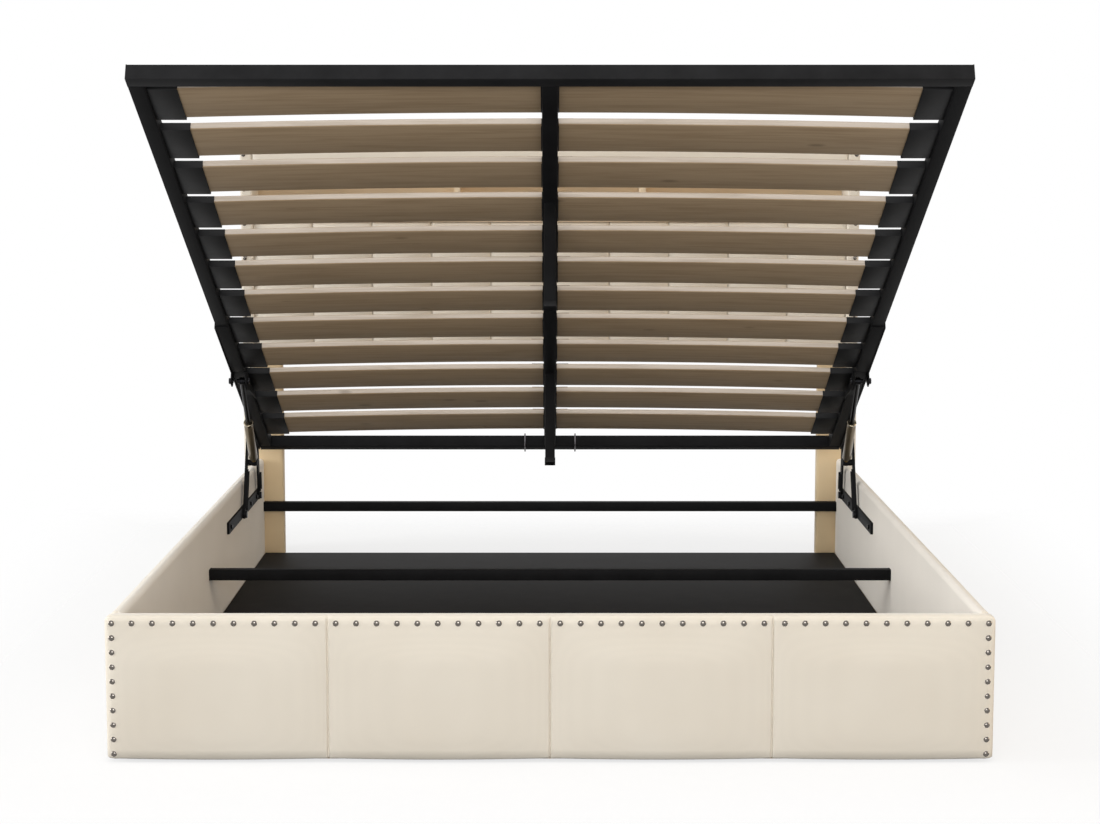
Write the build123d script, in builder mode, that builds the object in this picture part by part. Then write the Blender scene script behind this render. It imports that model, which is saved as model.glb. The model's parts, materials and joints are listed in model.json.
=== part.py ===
from build123d import *
import os
from math import atan2, cos, degrees, hypot, radians, sin

# Ottoman storage bed: a padded frame with nail trim, a headboard with an open shelf and
# sewn channels, and a sprung-slat platform that lifts on two linkages with gas struts.
# Frame: +Y runs from the foot to the head, +Z is up, and the origin is on the floor under
# the middle of the bed. All sizes are millimetres. The platform is drawn raised.

# Mattress and the space inside the frame
mattress_width = 1524.0
mattress_length = 2032.0
mattress_side_play = 18.0
mattress_end_play = 2.5
inner_width = mattress_width + 2 * mattress_side_play
inner_length = mattress_length + 2 * mattress_end_play
inner_half = inner_width / 2

# Heights
glide_height = 5.0
frame_top = 272.0
headboard_top = 1140.0
channel_bottom = 555.0
channel_top = 915.0
cubby_height = 120.0

# Rails: outer padding, board and inner lining, from outside to inside
rail_pad = 8.0
rail_board = 17.0
rail_lining = 3.0
rail_top_pad = 8.0
rail_round = 11.0
rail_thickness = rail_pad + rail_board + rail_lining

# Footboard: padded front with sewn panels, board and inner lining, from front to back
foot_pad = 14.0
foot_board = 18.0
foot_lining = 8.0
foot_side_pad = 12.0
foot_top_pad = 10.0
foot_round = 12.0
foot_corner = 12.0
foot_panels = 4
panel_crown = 6.0
panel_draw = 5.0
footboard_thickness = foot_pad + foot_board + foot_lining
footboard_width = inner_width + 2 * rail_thickness
foot_half = footboard_width / 2

# Headboard box
headboard_overhang = 26.0
headboard_width = footboard_width + 2 * headboard_overhang
headboard_depth = 150.0
post_width = 32.0
post_wall = 7.0
post_round = 6.0
leg_width = 75.0
leg_thickness = 28.0
leg_round = 5.0
band_thickness = 35.0
band_crown = 4.0
band_round = 9.0
shelf_board = 15.0
top_board = 18.0
back_board = 12.0
rear_panel = 6.0
cubby_depth = 120.0
divider_place_share = 0.312
shelf_setback = 4.0
channels = 10
channel_depth = 30.0
channel_crown = 13.0
channel_draw = 8.0
channel_board = 18.0
head_half = headboard_width / 2
head_inner_half = head_half - post_width

# Places along the bed
overall_length = footboard_thickness + inner_length + headboard_depth
foot_y = -overall_length / 2
inner_foot_y = foot_y + footboard_thickness
head_y = inner_foot_y + inner_length
back_y = head_y + headboard_depth

# Decorative nails
nail_radius = 5.5
nail_rim = 1.0
nail_dome = 1.8
nail_taper = 50.0
nail_shank = 1.0
nail_play = 0.1
foot_nail_top = 14.0
foot_nail_bottom = 11.0
foot_nail_side = 13.5
foot_nail_columns = 44
foot_nail_rows = 10
foot_nail_sink = 6.0
head_nail_inset = 10.0
head_nail_top = 14.0
head_nail_bottom = 11.0
head_nail_rows = 37
head_nail_columns = 46
band_nail_depth = 10.0
band_nail_sink = 3.5

# Floor parts
glide_radius = 6.0
panel_thickness = 6.0
panel_split_gap = 1.0
panel_strip_width = 30.0
panel_strip_inset = 30.0
panel_strips = 5
panel_top = glide_height + panel_thickness

# Cross bars
bar_size = 25.0
bar_wall = 1.5
bar_bottom = 130.0
mid_bar_y_from_foot = 1066.0
head_bar_gap = 4.0
bar_plate_thickness = 4.0

# Corner brackets at the foot end
corner_leaf = 50.0
corner_thickness = 3.0
corner_height = 150.0
corner_bottom = 60.0
corner_bolt_reach = 50.0
corner_bolt_inset = 28.0

# Bolts of the frame
bolt_radius = 3.0
bolt_head_radius = 6.0
bolt_head_height = 4.0
bolt_play = 0.1

# Platform
platform_side_gap = 15.0
platform_end_gap = 6.0
platform_sink = 4.0
tube_size = 30.0
tube_wall = 1.5
lift_angle = 26.9
open_rear_setback = 178.0
open_rear_height = 319.6
beam_width = 30.0
leg_size = 23.0
foot_cap_height = 12.0
foot_cap_wall = 1.0
foot_cap_clearance = 0.3
leg_front_share = 0.741
leg_rear_share = 0.271
plug_thickness = 2.0
plug_depth = 12.0
plug_play = 0.2
hoop_wire = 3.5
hoop_play = 0.3
hoop_spread = 66.0
platform_width = inner_width - 2 * platform_side_gap
platform_length = inner_length - 2 * platform_end_gap
platform_half = platform_width / 2
tube_inner = platform_half - tube_size
beam_half = beam_width / 2

# Slats
slat_rows = 12
slat_width = 114.0
slat_thickness = 14.0
slat_rise = 10.7
slat_seat = 9.0
slat_first_gap = 78.0
slat_last_gap = 24.0
cap_length = 56.0
cap_side_wall = 2.0
cap_bottom = 6.5
cap_top = 22.0
slat_in_cap = 25.0
cap_play = 0.5
holder_length = 100.0
holder_web = 1.0
holder_lip = 1.0
holder_lip_thickness = 2.5
holder_cover = 28.0
holder_top = 2.5
holder_play = 0.2

# Linkage and gas struts
hinge_bar_length = 578.0
hinge_bar_height = 28.0
hinge_bar_thickness = 6.0
hinge_bar_z = 200.0
hinge_bar_setback = 140.0
hinge_screw_inset = 30.0
hinge_screw_rear_inset = 78.0
link_width = 22.0
link_thickness = 5.0
link_gap = 0.3
link_rim = 2.0
link_rim_depth = 5.0
link_rim_start = 14.0
rear_rim_end_share = 0.4
front_rim_end_share = 0.45
rear_pivot_setback = 188.0
rear_pivot_z = 200.0
front_pivot_setback = 475.0
front_pivot_z = 195.0
strut_link_share = 0.53
link_pivot_lift = 13.0
strut_pin_drop = 20.0
strut_pin_u = 560.0
pin_radius = 5.0
pin_play = 0.05
pin_head_radius = 9.0
pin_head_height = 5.0
upper_head_radius = 8.0
upper_head_height = 3.0
strut_radius = 11.0
strut_wall = 1.5
strut_floor = 4.0
strut_gland = 8.0
strut_end_gap = 4.0
rod_radius = 6.0
rod_play = 0.05
piston_length = 8.0
piston_play = 0.1
strut_eye_radius = 9.0
strut_eye_width = 10.0
strut_neck_radius = 5.0
strut_neck_length = 20.0
strut_lower_x_gap = 28.0
strut_upper_x_gap = 38.0
rod_eye_width = 11.0
rod_bolt_inner = 6.3
rod_bolt_outer = 12.0

# Brackets on the platform
bracket_thickness = 3.0
bracket_front_u = 857.0
bracket_rear_u = 18.0
bracket_hang = 5.0
bracket_rise = 28.0
bracket_chamfer = 14.0
bracket_foot_rear_u = 578.0
lug_half = 15.0
lug_drop = 32.0
cheek_thickness = 4.0
cheek_reach = 6.0
cheek_tail_u = 385.0
cheek_foot_rear_u = 420.0
cheek_foot_gap = 1.0
cheek_depth = 37.0
cheek_front = 16.0
pin_bolt_head_radius = 7.5
pin_bolt_head_height = 5.5
pin_stub = 2.5

# Overrun of cuts past the faces they open
overrun = 1.0

os.makedirs("parts", exist_ok=True)
sides = ((-1, "left"), (1, "right"))


def write(piece, name):
    piece.part.label = name
    export_step(piece.part, "parts/" + name + ".step")


def front_plane(y):
    """Plane at depth y that faces the foot end, with local axes X and Z."""
    return Plane.XZ.offset(-y)


def spread(start, end, count):
    """Evenly spaced values from start to end, both included."""
    return [start + (end - start) * n / (count - 1) for n in range(count)]


# Platform geometry: u runs from the rear edge of the platform towards the foot, v is square
# to the platform and points to the mattress
tilt = radians(lift_angle)
along = (-cos(tilt), sin(tilt))
open_rear = (head_y - open_rear_setback, open_rear_height)
closed_rear = (head_y - platform_end_gap, frame_top - platform_sink - tube_size)


def open_point(u, v):
    return (open_rear[0] + u * along[0] + v * along[1], open_rear[1] + u * along[1] - v * along[0])


def closed_point(u, v):
    return (closed_rear[0] - u, closed_rear[1] + v)


def pivot_u(pivot, v):
    """The u at which a point of the platform is as far from a fixed pivot open as closed."""
    start_open = open_point(0, v)
    start_closed = closed_point(0, v)
    a = (start_open[0] - pivot[0], start_open[1] - pivot[1])
    b = (start_closed[0] - pivot[0], start_closed[1] - pivot[1])
    lengths = b[0] ** 2 + b[1] ** 2 - a[0] ** 2 - a[1] ** 2
    return lengths / (2 * (a[0] * along[0] + a[1] * along[1] + b[0]))


def cross_plane(u):
    """Section across the platform at u: local axes X and v, normal towards the foot."""
    y, z = open_point(u, 0)
    return Plane(origin=(0, y, z), x_dir=(1, 0, 0), z_dir=(0, along[0], along[1]))


def side_plane(x):
    """Section along the platform at x: local axes minus u and v, normal +X."""
    origin = (x, open_rear[0], open_rear[1])
    return Plane(origin=origin, x_dir=(0, -along[0], -along[1]), z_dir=(1, 0, 0))


def flat_plane(v):
    """Plane over the platform at v: local axes X and minus u, normal away from the floor."""
    y, z = open_point(0, v)
    return Plane(origin=(0, y, z), x_dir=(1, 0, 0), z_dir=(0, along[1], -along[0]))


rear_pivot = (head_y - rear_pivot_setback, rear_pivot_z)
front_pivot = (head_y - front_pivot_setback, front_pivot_z)
rear_u = pivot_u(rear_pivot, link_pivot_lift)
front_u = pivot_u(front_pivot, link_pivot_lift)
rear_top = open_point(rear_u, link_pivot_lift)
front_top = open_point(front_u, link_pivot_lift)
rear_top_closed = closed_point(rear_u, link_pivot_lift)
front_top_closed = closed_point(front_u, link_pivot_lift)
strut_top = open_point(strut_pin_u, -strut_pin_drop)
strut_top_closed = closed_point(strut_pin_u, -strut_pin_drop)


def turn_and_reach(base, tip):
    return degrees(atan2(tip[1] - base[1], tip[0] - base[0])), hypot(tip[0] - base[0], tip[1] - base[1])


# The strut's lower pin is part of the way along the front link
def on_front_link(top):
    """The place of the strut's lower pin when the front link's upper end is at top."""
    return tuple(base + strut_link_share * (end - base) for base, end in zip(front_pivot, top))


strut_pivot = on_front_link(front_top)
strut_pivot_closed = on_front_link(front_top_closed)
strut_turn, strut_open = turn_and_reach(strut_pivot, strut_top)
strut_turn_closed, strut_closed = turn_and_reach(strut_pivot_closed, strut_top_closed)
strut_stroke = strut_open - strut_closed
strut_body = strut_stroke + piston_length + strut_gland + 2 * strut_end_gap + strut_floor

# Layers across the mechanism, from the rail towards the middle of the bed
hinge_bar_face = inner_half - hinge_bar_thickness
link_outer = hinge_bar_face - link_gap
link_inner = link_outer - link_thickness
strut_lower_x = inner_half - strut_lower_x_gap
strut_upper_x = inner_half - strut_upper_x_gap

# Points on the rail's inner face where bolts go in: y, z and the thickness of what they hold
mid_bar_y = foot_y + mid_bar_y_from_foot + bar_size / 2
head_bar_y = head_y - head_bar_gap - bar_size / 2
bar_z = bar_bottom + bar_size / 2
bolts_on_rail = []
for z in (corner_bottom + corner_bolt_inset, corner_bottom + corner_height - corner_bolt_inset):
    bolts_on_rail.append((inner_foot_y + corner_leaf / 2 + corner_thickness, z, corner_thickness))
for y in (mid_bar_y, head_bar_y):
    bolts_on_rail.append((y, bar_z, bar_plate_thickness))
hinge_bar_rear = head_y - hinge_bar_setback
hinge_bar_front = hinge_bar_rear - hinge_bar_length
for y in (
    hinge_bar_front + hinge_screw_inset,
    (front_pivot[0] + rear_pivot[0]) / 2,
    hinge_bar_rear - hinge_screw_rear_inset,
):
    bolts_on_rail.append((y, hinge_bar_z, hinge_bar_thickness))
bolts_on_foot = [(x, z) for x in (-1, 1) for z in bolts_on_rail[0][1:2] + bolts_on_rail[1][1:2]]
foot_bolt_x = inner_half - corner_leaf / 2 - corner_thickness

# Footboard board, a plain panel inside the padding
with BuildPart() as footboard_core:
    with BuildSketch(front_plane(foot_y + foot_pad)):
        with Locations((0, (glide_height + frame_top - foot_top_pad) / 2)):
            Rectangle(footboard_width - 2 * foot_side_pad, frame_top - foot_top_pad - glide_height)
    extrude(amount=-foot_board)
write(footboard_core, "footboard_core")

# Nail places on the footboard: one row under the top edge and one column down each side
foot_row_z = frame_top - foot_nail_top
foot_column_x = foot_half - foot_nail_side
foot_nails = [(x, foot_row_z) for x in spread(-foot_column_x, foot_column_x, foot_nail_columns)]
for z in spread(foot_row_z, glide_height + foot_nail_bottom, foot_nail_rows)[1:]:
    foot_nails.append((-foot_column_x, z))
    foot_nails.append((foot_column_x, z))


def scallops(front_y, half_width, count, crown):
    """Arcs side by side along X that bulge towards the foot."""
    edges = spread(-half_width, half_width, count + 1)
    for left, right in zip(edges, edges[1:]):
        ThreePointArc((left, front_y + crown), ((left + right) / 2, front_y), (right, front_y + crown))


# Footboard cover: four crowned panels between seams, drawn in at top and bottom
with BuildPart() as footboard_cover:
    with BuildSketch(Plane.XY.offset(glide_height)):
        with BuildLine():
            seam_y = foot_y + panel_crown
            turn = foot_corner * (1 - cos(radians(45)))
            flat_half = foot_half - foot_corner
            Line((-foot_half, inner_foot_y), (-foot_half, seam_y + foot_corner))
            ThreePointArc(
                (-foot_half, seam_y + foot_corner),
                (-foot_half + turn, seam_y + turn),
                (-flat_half, seam_y),
            )
            scallops(foot_y, flat_half, foot_panels, panel_crown)
            ThreePointArc(
                (flat_half, seam_y),
                (foot_half - turn, seam_y + turn),
                (foot_half, seam_y + foot_corner),
            )
            Polyline((foot_half, seam_y + foot_corner), (foot_half, inner_foot_y), (-foot_half, inner_foot_y))
        make_face()
    extrude(amount=frame_top - glide_height)
    with BuildSketch(Plane.YZ.offset(-foot_half - overrun)):
        with BuildLine():
            draw_y = foot_y + panel_draw
            round_z = frame_top - foot_round
            turn = foot_round * (1 - cos(radians(45)))
            bulge_y = foot_y - overrun
            ThreePointArc((draw_y, glide_height), (bulge_y, (glide_height + round_z) / 2), (draw_y, round_z))
            ThreePointArc((draw_y, round_z), (draw_y + turn, frame_top - turn), (draw_y + foot_round, frame_top))
            Line((draw_y + foot_round, frame_top), (inner_foot_y - foot_lining, frame_top))
            turn = foot_lining * (1 - cos(radians(45)))
            ThreePointArc(
                (inner_foot_y - foot_lining, frame_top),
                (inner_foot_y - turn, frame_top - turn),
                (inner_foot_y, frame_top - foot_lining),
            )
            Polyline(
                (inner_foot_y, frame_top - foot_lining), (inner_foot_y, glide_height), (draw_y, glide_height)
            )
        make_face()
    extrude(amount=footboard_width + 2 * overrun, mode=Mode.INTERSECT)
    with BuildSketch(Plane.XY.offset(glide_height - overrun)):
        with Locations((0, foot_y + foot_pad + foot_board / 2)):
            Rectangle(footboard_width - 2 * foot_side_pad, foot_board)
    extrude(amount=frame_top - foot_top_pad - glide_height + overrun, mode=Mode.SUBTRACT)
    with BuildSketch(front_plane(foot_y - overrun)):
        with Locations(*foot_nails):
            Circle(nail_shank + nail_play)
    extrude(amount=-foot_pad - overrun, mode=Mode.SUBTRACT)
    with BuildSketch(front_plane(foot_y - overrun)):
        with Locations(*foot_nails):
            Circle(nail_radius + nail_play)
    extrude(amount=-foot_nail_sink - overrun, mode=Mode.SUBTRACT)
    with BuildSketch(front_plane(inner_foot_y - foot_lining)):
        with Locations(*[(x * foot_bolt_x, z) for x, z in bolts_on_foot]):
            Circle(bolt_radius + bolt_play)
    extrude(amount=-foot_lining - overrun, mode=Mode.SUBTRACT)
write(footboard_cover, "footboard_cover")


def nail_set(points, face_y, shank):
    """Round-headed nails on the plane y = face_y, with shanks that run into the padding."""
    with BuildSketch(front_plane(face_y + shank)) as shanks:
        with Locations(*points):
            Circle(nail_shank)
    extrude(shanks.sketch, amount=shank)
    with BuildSketch(front_plane(face_y)) as rims:
        with Locations(*points):
            Circle(nail_radius)
    extrude(rims.sketch, amount=nail_rim)
    with BuildSketch(front_plane(face_y - nail_rim)) as domes:
        with Locations(*points):
            Circle(nail_radius)
    extrude(domes.sketch, amount=nail_dome, taper=nail_taper)


with BuildPart() as footboard_nails:
    nail_set(foot_nails, foot_y + foot_nail_sink, foot_pad - foot_nail_sink)
write(footboard_nails, "footboard_nails")

# Side rails: a board in a padded cover that is open underneath and at its ends
rail_middle_y = (inner_foot_y + head_y) / 2
rail_board_x = inner_half + rail_lining + rail_board / 2
rail_board_z = (glide_height + frame_top - rail_top_pad) / 2
with BuildPart() as rail_cores:
    with BuildSketch(Plane.XZ.offset(-head_y)):
        with Locations((-rail_board_x, rail_board_z), (rail_board_x, rail_board_z)):
            Rectangle(rail_board, frame_top - rail_top_pad - glide_height)
    extrude(amount=inner_length)
write(rail_cores, "rail_cores")

for side, tag in sides:
    with BuildPart() as rail_cover:
        with BuildSketch(Plane.XZ.offset(-head_y)):
            with BuildLine():
                inner_x = side * inner_half
                outer_x = side * foot_half
                turn = rail_round * (1 - cos(radians(45)))
                Polyline(
                    (inner_x, frame_top - rail_round), (inner_x, glide_height), (outer_x, glide_height),
                    (outer_x, frame_top - rail_round),
                )
                ThreePointArc(
                    (outer_x, frame_top - rail_round),
                    (outer_x - side * turn, frame_top - turn),
                    (outer_x - side * rail_round, frame_top),
                )
                Line((outer_x - side * rail_round, frame_top), (inner_x + side * rail_round, frame_top))
                ThreePointArc(
                    (inner_x + side * rail_round, frame_top),
                    (inner_x + side * turn, frame_top - turn),
                    (inner_x, frame_top - rail_round),
                )
            make_face()
            slot_height = frame_top - rail_top_pad - glide_height + overrun
            with Locations((side * rail_board_x, frame_top - rail_top_pad - slot_height / 2)):
                Rectangle(rail_board, slot_height, mode=Mode.SUBTRACT)
        extrude(amount=inner_length)
        with BuildSketch(Plane.YZ.offset(side * (inner_half + rail_lining))):
            with Locations(*[(y, z) for y, z, grip in bolts_on_rail]):
                Circle(bolt_radius + bolt_play)
        extrude(amount=-side * (rail_lining + overrun), mode=Mode.SUBTRACT)
    write(rail_cover, "rail_cover_" + tag)

# Corner brackets that join the footboard to the rails
with BuildPart() as corner_brackets:
    for side, tag in sides:
        with BuildSketch(Plane.XY.offset(corner_bottom)):
            corner_x = side * inner_half
            with BuildLine():
                Polyline(
                    (corner_x, inner_foot_y),
                    (corner_x, inner_foot_y + corner_leaf),
                    (corner_x - side * corner_thickness, inner_foot_y + corner_leaf),
                    (corner_x - side * corner_thickness, inner_foot_y + corner_thickness),
                    (corner_x - side * corner_leaf, inner_foot_y + corner_thickness),
                    (corner_x - side * corner_leaf, inner_foot_y),
                    close=True,
                )
            make_face()
        extrude(amount=corner_height)
    for side, tag in sides:
        with BuildSketch(Plane.YZ.offset(side * (inner_half + overrun))):
            with Locations(*[(y, z) for y, z, grip in bolts_on_rail[:2]]):
                Circle(bolt_radius + bolt_play)
        extrude(amount=-side * (corner_thickness + 2 * overrun), mode=Mode.SUBTRACT)
    with BuildSketch(front_plane(inner_foot_y - overrun)):
        with Locations(*[(x * foot_bolt_x, z) for x, z in bolts_on_foot]):
            Circle(bolt_radius + bolt_play)
    extrude(amount=-corner_thickness - 2 * overrun, mode=Mode.SUBTRACT)
write(corner_brackets, "corner_brackets")

# Bolts that hold the brackets, the cross bars and the hinge bars to the boards
with BuildPart() as frame_bolts:
    for side, tag in sides:
        for y, z, grip in bolts_on_rail:
            with BuildSketch(Plane.YZ.offset(side * (inner_half + rail_lining))):
                with Locations((y, z)):
                    Circle(bolt_radius)
            extrude(amount=-side * (rail_lining + grip))
            with BuildSketch(Plane.YZ.offset(side * (inner_half - grip))):
                with Locations((y, z)):
                    RegularPolygon(bolt_head_radius, 6)
            extrude(amount=-side * bolt_head_height)
    for x, z in bolts_on_foot:
        with BuildSketch(front_plane(inner_foot_y - foot_lining)):
            with Locations((x * foot_bolt_x, z)):
                Circle(bolt_radius)
        extrude(amount=-foot_lining - corner_thickness)
        with BuildSketch(front_plane(inner_foot_y + corner_thickness)):
            with Locations((x * foot_bolt_x, z)):
                RegularPolygon(bolt_head_radius, 6)
        extrude(amount=-bolt_head_height)
write(frame_bolts, "frame_bolts")

# Cross bars between the rails, closed at each end by a plate whose bolt is inside the bar
for bar_y, name in ((mid_bar_y, "mid_cross_bar"), (head_bar_y, "head_cross_bar")):
    with BuildPart() as cross_bar:
        bar_half = inner_half - bar_plate_thickness
        with BuildSketch(Plane.YZ.offset(-bar_half)):
            with Locations((bar_y, bar_z)):
                Rectangle(bar_size, bar_size)
                Rectangle(bar_size - 2 * bar_wall, bar_size - 2 * bar_wall, mode=Mode.SUBTRACT)
        extrude(amount=2 * bar_half)
    write(cross_bar, name)

with BuildPart() as cross_bar_plates:
    for side, tag in sides:
        with BuildSketch(Plane.YZ.offset(side * inner_half)):
            with Locations((mid_bar_y, bar_z), (head_bar_y, bar_z)):
                Rectangle(bar_size, bar_size)
            with Locations(*[(y, z) for y, z, grip in bolts_on_rail if grip == bar_plate_thickness]):
                Circle(bolt_radius + bolt_play, mode=Mode.SUBTRACT)
        extrude(amount=-side * bar_plate_thickness)
write(cross_bar_plates, "cross_bar_plates")

# Headboard posts: a board in a padded cover that stands proud of the panels as a border
head_column_x = head_half - head_nail_inset
head_nail_z = spread(glide_height + head_nail_bottom, headboard_top - head_nail_top, head_nail_rows)
post_middle_x = head_half - post_width / 2
post_middle_y = head_y + headboard_depth / 2
post_top = headboard_top - post_wall
with BuildPart() as post_cores:
    with BuildSketch(Plane.XY.offset(glide_height)):
        with Locations((-post_middle_x, post_middle_y), (post_middle_x, post_middle_y)):
            Rectangle(post_width - 2 * post_wall, headboard_depth - 2 * post_wall)
    extrude(amount=post_top - glide_height)
write(post_cores, "headboard_post_cores")

for side, tag in sides:
    post_x = side * post_middle_x
    with BuildPart() as post_cover:
        with BuildSketch(Plane.XY.offset(glide_height)):
            with Locations((post_x, post_middle_y)):
                RectangleRounded(post_width, headboard_depth, post_round)
        extrude(amount=headboard_top - glide_height)
        fillet(post_cover.edges().group_by(Axis.Z)[-1], post_round)
        with BuildSketch(Plane.XY.offset(glide_height - overrun)):
            with Locations((post_x, post_middle_y)):
                Rectangle(post_width - 2 * post_wall, headboard_depth - 2 * post_wall)
        extrude(amount=post_top - glide_height + overrun, mode=Mode.SUBTRACT)
        with BuildSketch(front_plane(head_y - overrun)):
            with Locations(*[(side * head_column_x, z) for z in head_nail_z]):
                Circle(nail_shank + nail_play)
        extrude(amount=-post_wall - overrun, mode=Mode.SUBTRACT)
    write(post_cover, "headboard_post_cover_" + tag)

# A leg beside each post, from the floor to the underside of the channel panel
leg_x = head_inner_half - leg_width / 2
leg_y = head_y + leg_thickness / 2
with BuildPart() as headboard_legs:
    with BuildSketch(Plane.XY.offset(glide_height)):
        with Locations((-leg_x, leg_y), (leg_x, leg_y)):
            RectangleRounded(leg_width, leg_thickness, leg_round)
    extrude(amount=channel_bottom - glide_height)
write(headboard_legs, "headboard_legs")

# Smooth padded band above the shelf
shelf_top = channel_top + shelf_board
band_bottom = shelf_top + cubby_height
band_nails = [(x, headboard_top - head_nail_top) for x in spread(-head_column_x, head_column_x, head_nail_columns)]
band_nails = band_nails[1:-1]
with BuildPart() as headboard_band:
    with BuildSketch(Plane.YZ.offset(-head_inner_half)):
        with BuildLine():
            band_back = head_y + band_thickness
            band_front = head_y + band_crown
            turn = band_round * (1 - cos(radians(45)))
            band_round_z = headboard_top - band_round
            ThreePointArc(
                (band_front, band_bottom), (head_y, (band_bottom + band_round_z) / 2), (band_front, band_round_z)
            )
            ThreePointArc(
                (band_front, band_round_z),
                (band_front + turn, headboard_top - turn),
                (band_front + band_round, headboard_top),
            )
            Polyline(
                (band_front + band_round, headboard_top), (band_back, headboard_top),
                (band_back, band_bottom), (band_front, band_bottom),
            )
        make_face()
    extrude(amount=2 * head_inner_half)
    with BuildSketch(front_plane(head_y - overrun)):
        with Locations(*band_nails):
            Circle(nail_shank + nail_play)
    extrude(amount=-band_nail_depth - overrun, mode=Mode.SUBTRACT)
    with BuildSketch(front_plane(head_y - overrun)):
        with Locations(*band_nails):
            Circle(nail_radius + nail_play)
    extrude(amount=-band_nail_sink - overrun, mode=Mode.SUBTRACT)
write(headboard_band, "headboard_top_band")

with BuildPart() as headboard_nails:
    post_nails = [(x, z) for x in (-head_column_x, head_column_x) for z in head_nail_z]
    nail_set(post_nails, head_y, post_wall)
    nail_set(band_nails, head_y + band_nail_sink, band_nail_depth - band_nail_sink)
write(headboard_nails, "headboard_nails")


def head_board(y_near, y_far, z_low, z_high):
    """A flat board across the headboard between its posts."""
    with BuildSketch(Plane.XY.offset(z_low)) as board:
        with Locations((0, (y_near + y_far) / 2)):
            Rectangle(2 * head_inner_half, y_far - y_near)
    extrude(board.sketch, amount=z_high - z_low)


# Boards of the shelf box
cubby_back_y = head_y + shelf_setback + cubby_depth
panel_y = back_y - rear_panel
with BuildPart() as headboard_top_board:
    head_board(head_y + band_thickness, panel_y, headboard_top - top_board, headboard_top)
write(headboard_top_board, "headboard_top_board")

with BuildPart() as cubby_ceiling:
    head_board(head_y + band_thickness, cubby_back_y, band_bottom, band_bottom + shelf_board)
write(cubby_ceiling, "cubby_ceiling")

with BuildPart() as cubby_back:
    head_board(cubby_back_y, cubby_back_y + back_board, channel_top, band_bottom + shelf_board)
write(cubby_back, "cubby_back")

with BuildPart() as cubby_shelf:
    head_board(head_y + shelf_setback, cubby_back_y, channel_top, shelf_top)
write(cubby_shelf, "cubby_shelf")

divider_x = divider_place_share * head_inner_half
divider_y = (head_y + shelf_setback + cubby_back_y) / 2
with BuildPart() as cubby_dividers:
    with BuildSketch(Plane.XY.offset(shelf_top)):
        with Locations((-divider_x, divider_y), (divider_x, divider_y)):
            Rectangle(shelf_board, cubby_depth)
    extrude(amount=cubby_height)
write(cubby_dividers, "cubby_dividers")

# Channelled panel: ten crowned channels on a board, drawn in at top and bottom
with BuildPart() as headboard_channels:
    with BuildSketch(Plane.XY.offset(channel_bottom)):
        with BuildLine():
            scallops(head_y, head_inner_half, channels, channel_crown)
            Polyline(
                (head_inner_half, head_y + channel_crown),
                (head_inner_half, head_y + channel_depth),
                (-head_inner_half, head_y + channel_depth),
                (-head_inner_half, head_y + channel_crown),
            )
        make_face()
    extrude(amount=channel_top - channel_bottom)
    with BuildSketch(Plane.YZ.offset(-head_inner_half - overrun)):
        with BuildLine():
            front_y = head_y - overrun
            near_y = front_y + channel_draw
            turn = channel_draw * (1 - cos(radians(45)))
            Line((front_y, channel_bottom + channel_draw), (front_y, channel_top - channel_draw))
            ThreePointArc(
                (front_y, channel_top - channel_draw), (front_y + turn, channel_top - turn), (near_y, channel_top)
            )
            Polyline(
                (near_y, channel_top), (head_y + channel_depth, channel_top),
                (head_y + channel_depth, channel_bottom), (near_y, channel_bottom),
            )
            ThreePointArc(
                (near_y, channel_bottom),
                (front_y + turn, channel_bottom + turn),
                (front_y, channel_bottom + channel_draw),
            )
        make_face()
    extrude(amount=2 * (head_inner_half + overrun), mode=Mode.INTERSECT)
write(headboard_channels, "headboard_channels")

with BuildPart() as channel_backing:
    channel_back_y = head_y + channel_depth + channel_board
    head_board(head_y + channel_depth, channel_back_y, channel_bottom, channel_top)
write(channel_backing, "channel_backing")

with BuildPart() as headboard_bottom_board:
    head_board(channel_back_y, panel_y, channel_bottom, channel_bottom + top_board)
write(headboard_bottom_board, "headboard_bottom_board")

with BuildPart() as headboard_rear_panel:
    head_board(panel_y, back_y, channel_bottom, headboard_top)
write(headboard_rear_panel, "headboard_rear_panel")

# Glides on the floor under the frame
with BuildPart() as floor_glides:
    with BuildSketch(Plane.XY):
        foot_glide_y = foot_y + footboard_thickness - glide_radius
        for side, tag in sides:
            with Locations(*[(side * rail_board_x, y) for y in spread(inner_foot_y + leg_width, head_y - leg_width, 3)]):
                Circle(glide_radius)
            with Locations(
                (side * post_middle_x, head_y + leg_width / 2),
                (side * post_middle_x, back_y - leg_width / 2),
                (side * leg_x, leg_y),
                (side * foot_half / 3, foot_glide_y),
                (side * (foot_half - leg_width), foot_glide_y),
            ):
                Circle(glide_radius)
    extrude(amount=glide_height)
write(floor_glides, "floor_glides")

# Two base panels that close the storage space underneath, on strips that lie on the floor
panel_split_y = mid_bar_y
for y_near, y_far, name in (
    (inner_foot_y, panel_split_y - panel_split_gap / 2, "base_panel_front"),
    (panel_split_y + panel_split_gap / 2, head_y, "base_panel_rear"),
):
    with BuildPart() as base_panel:
        with BuildSketch(Plane.XY.offset(glide_height)):
            with Locations((0, (y_near + y_far) / 2)):
                Rectangle(inner_width, y_far - y_near)
        extrude(amount=panel_thickness)
    write(base_panel, name)

with BuildPart() as base_panel_strips:
    with BuildSketch(Plane.XY):
        strip_x = inner_half - panel_strip_inset
        with Locations(*[(x, rail_middle_y) for x in spread(-strip_x, strip_x, panel_strips)]):
            Rectangle(panel_strip_width, inner_length - 2 * panel_strip_inset)
    extrude(amount=glide_height)
write(base_panel_strips, "base_panel_strips")


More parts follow.
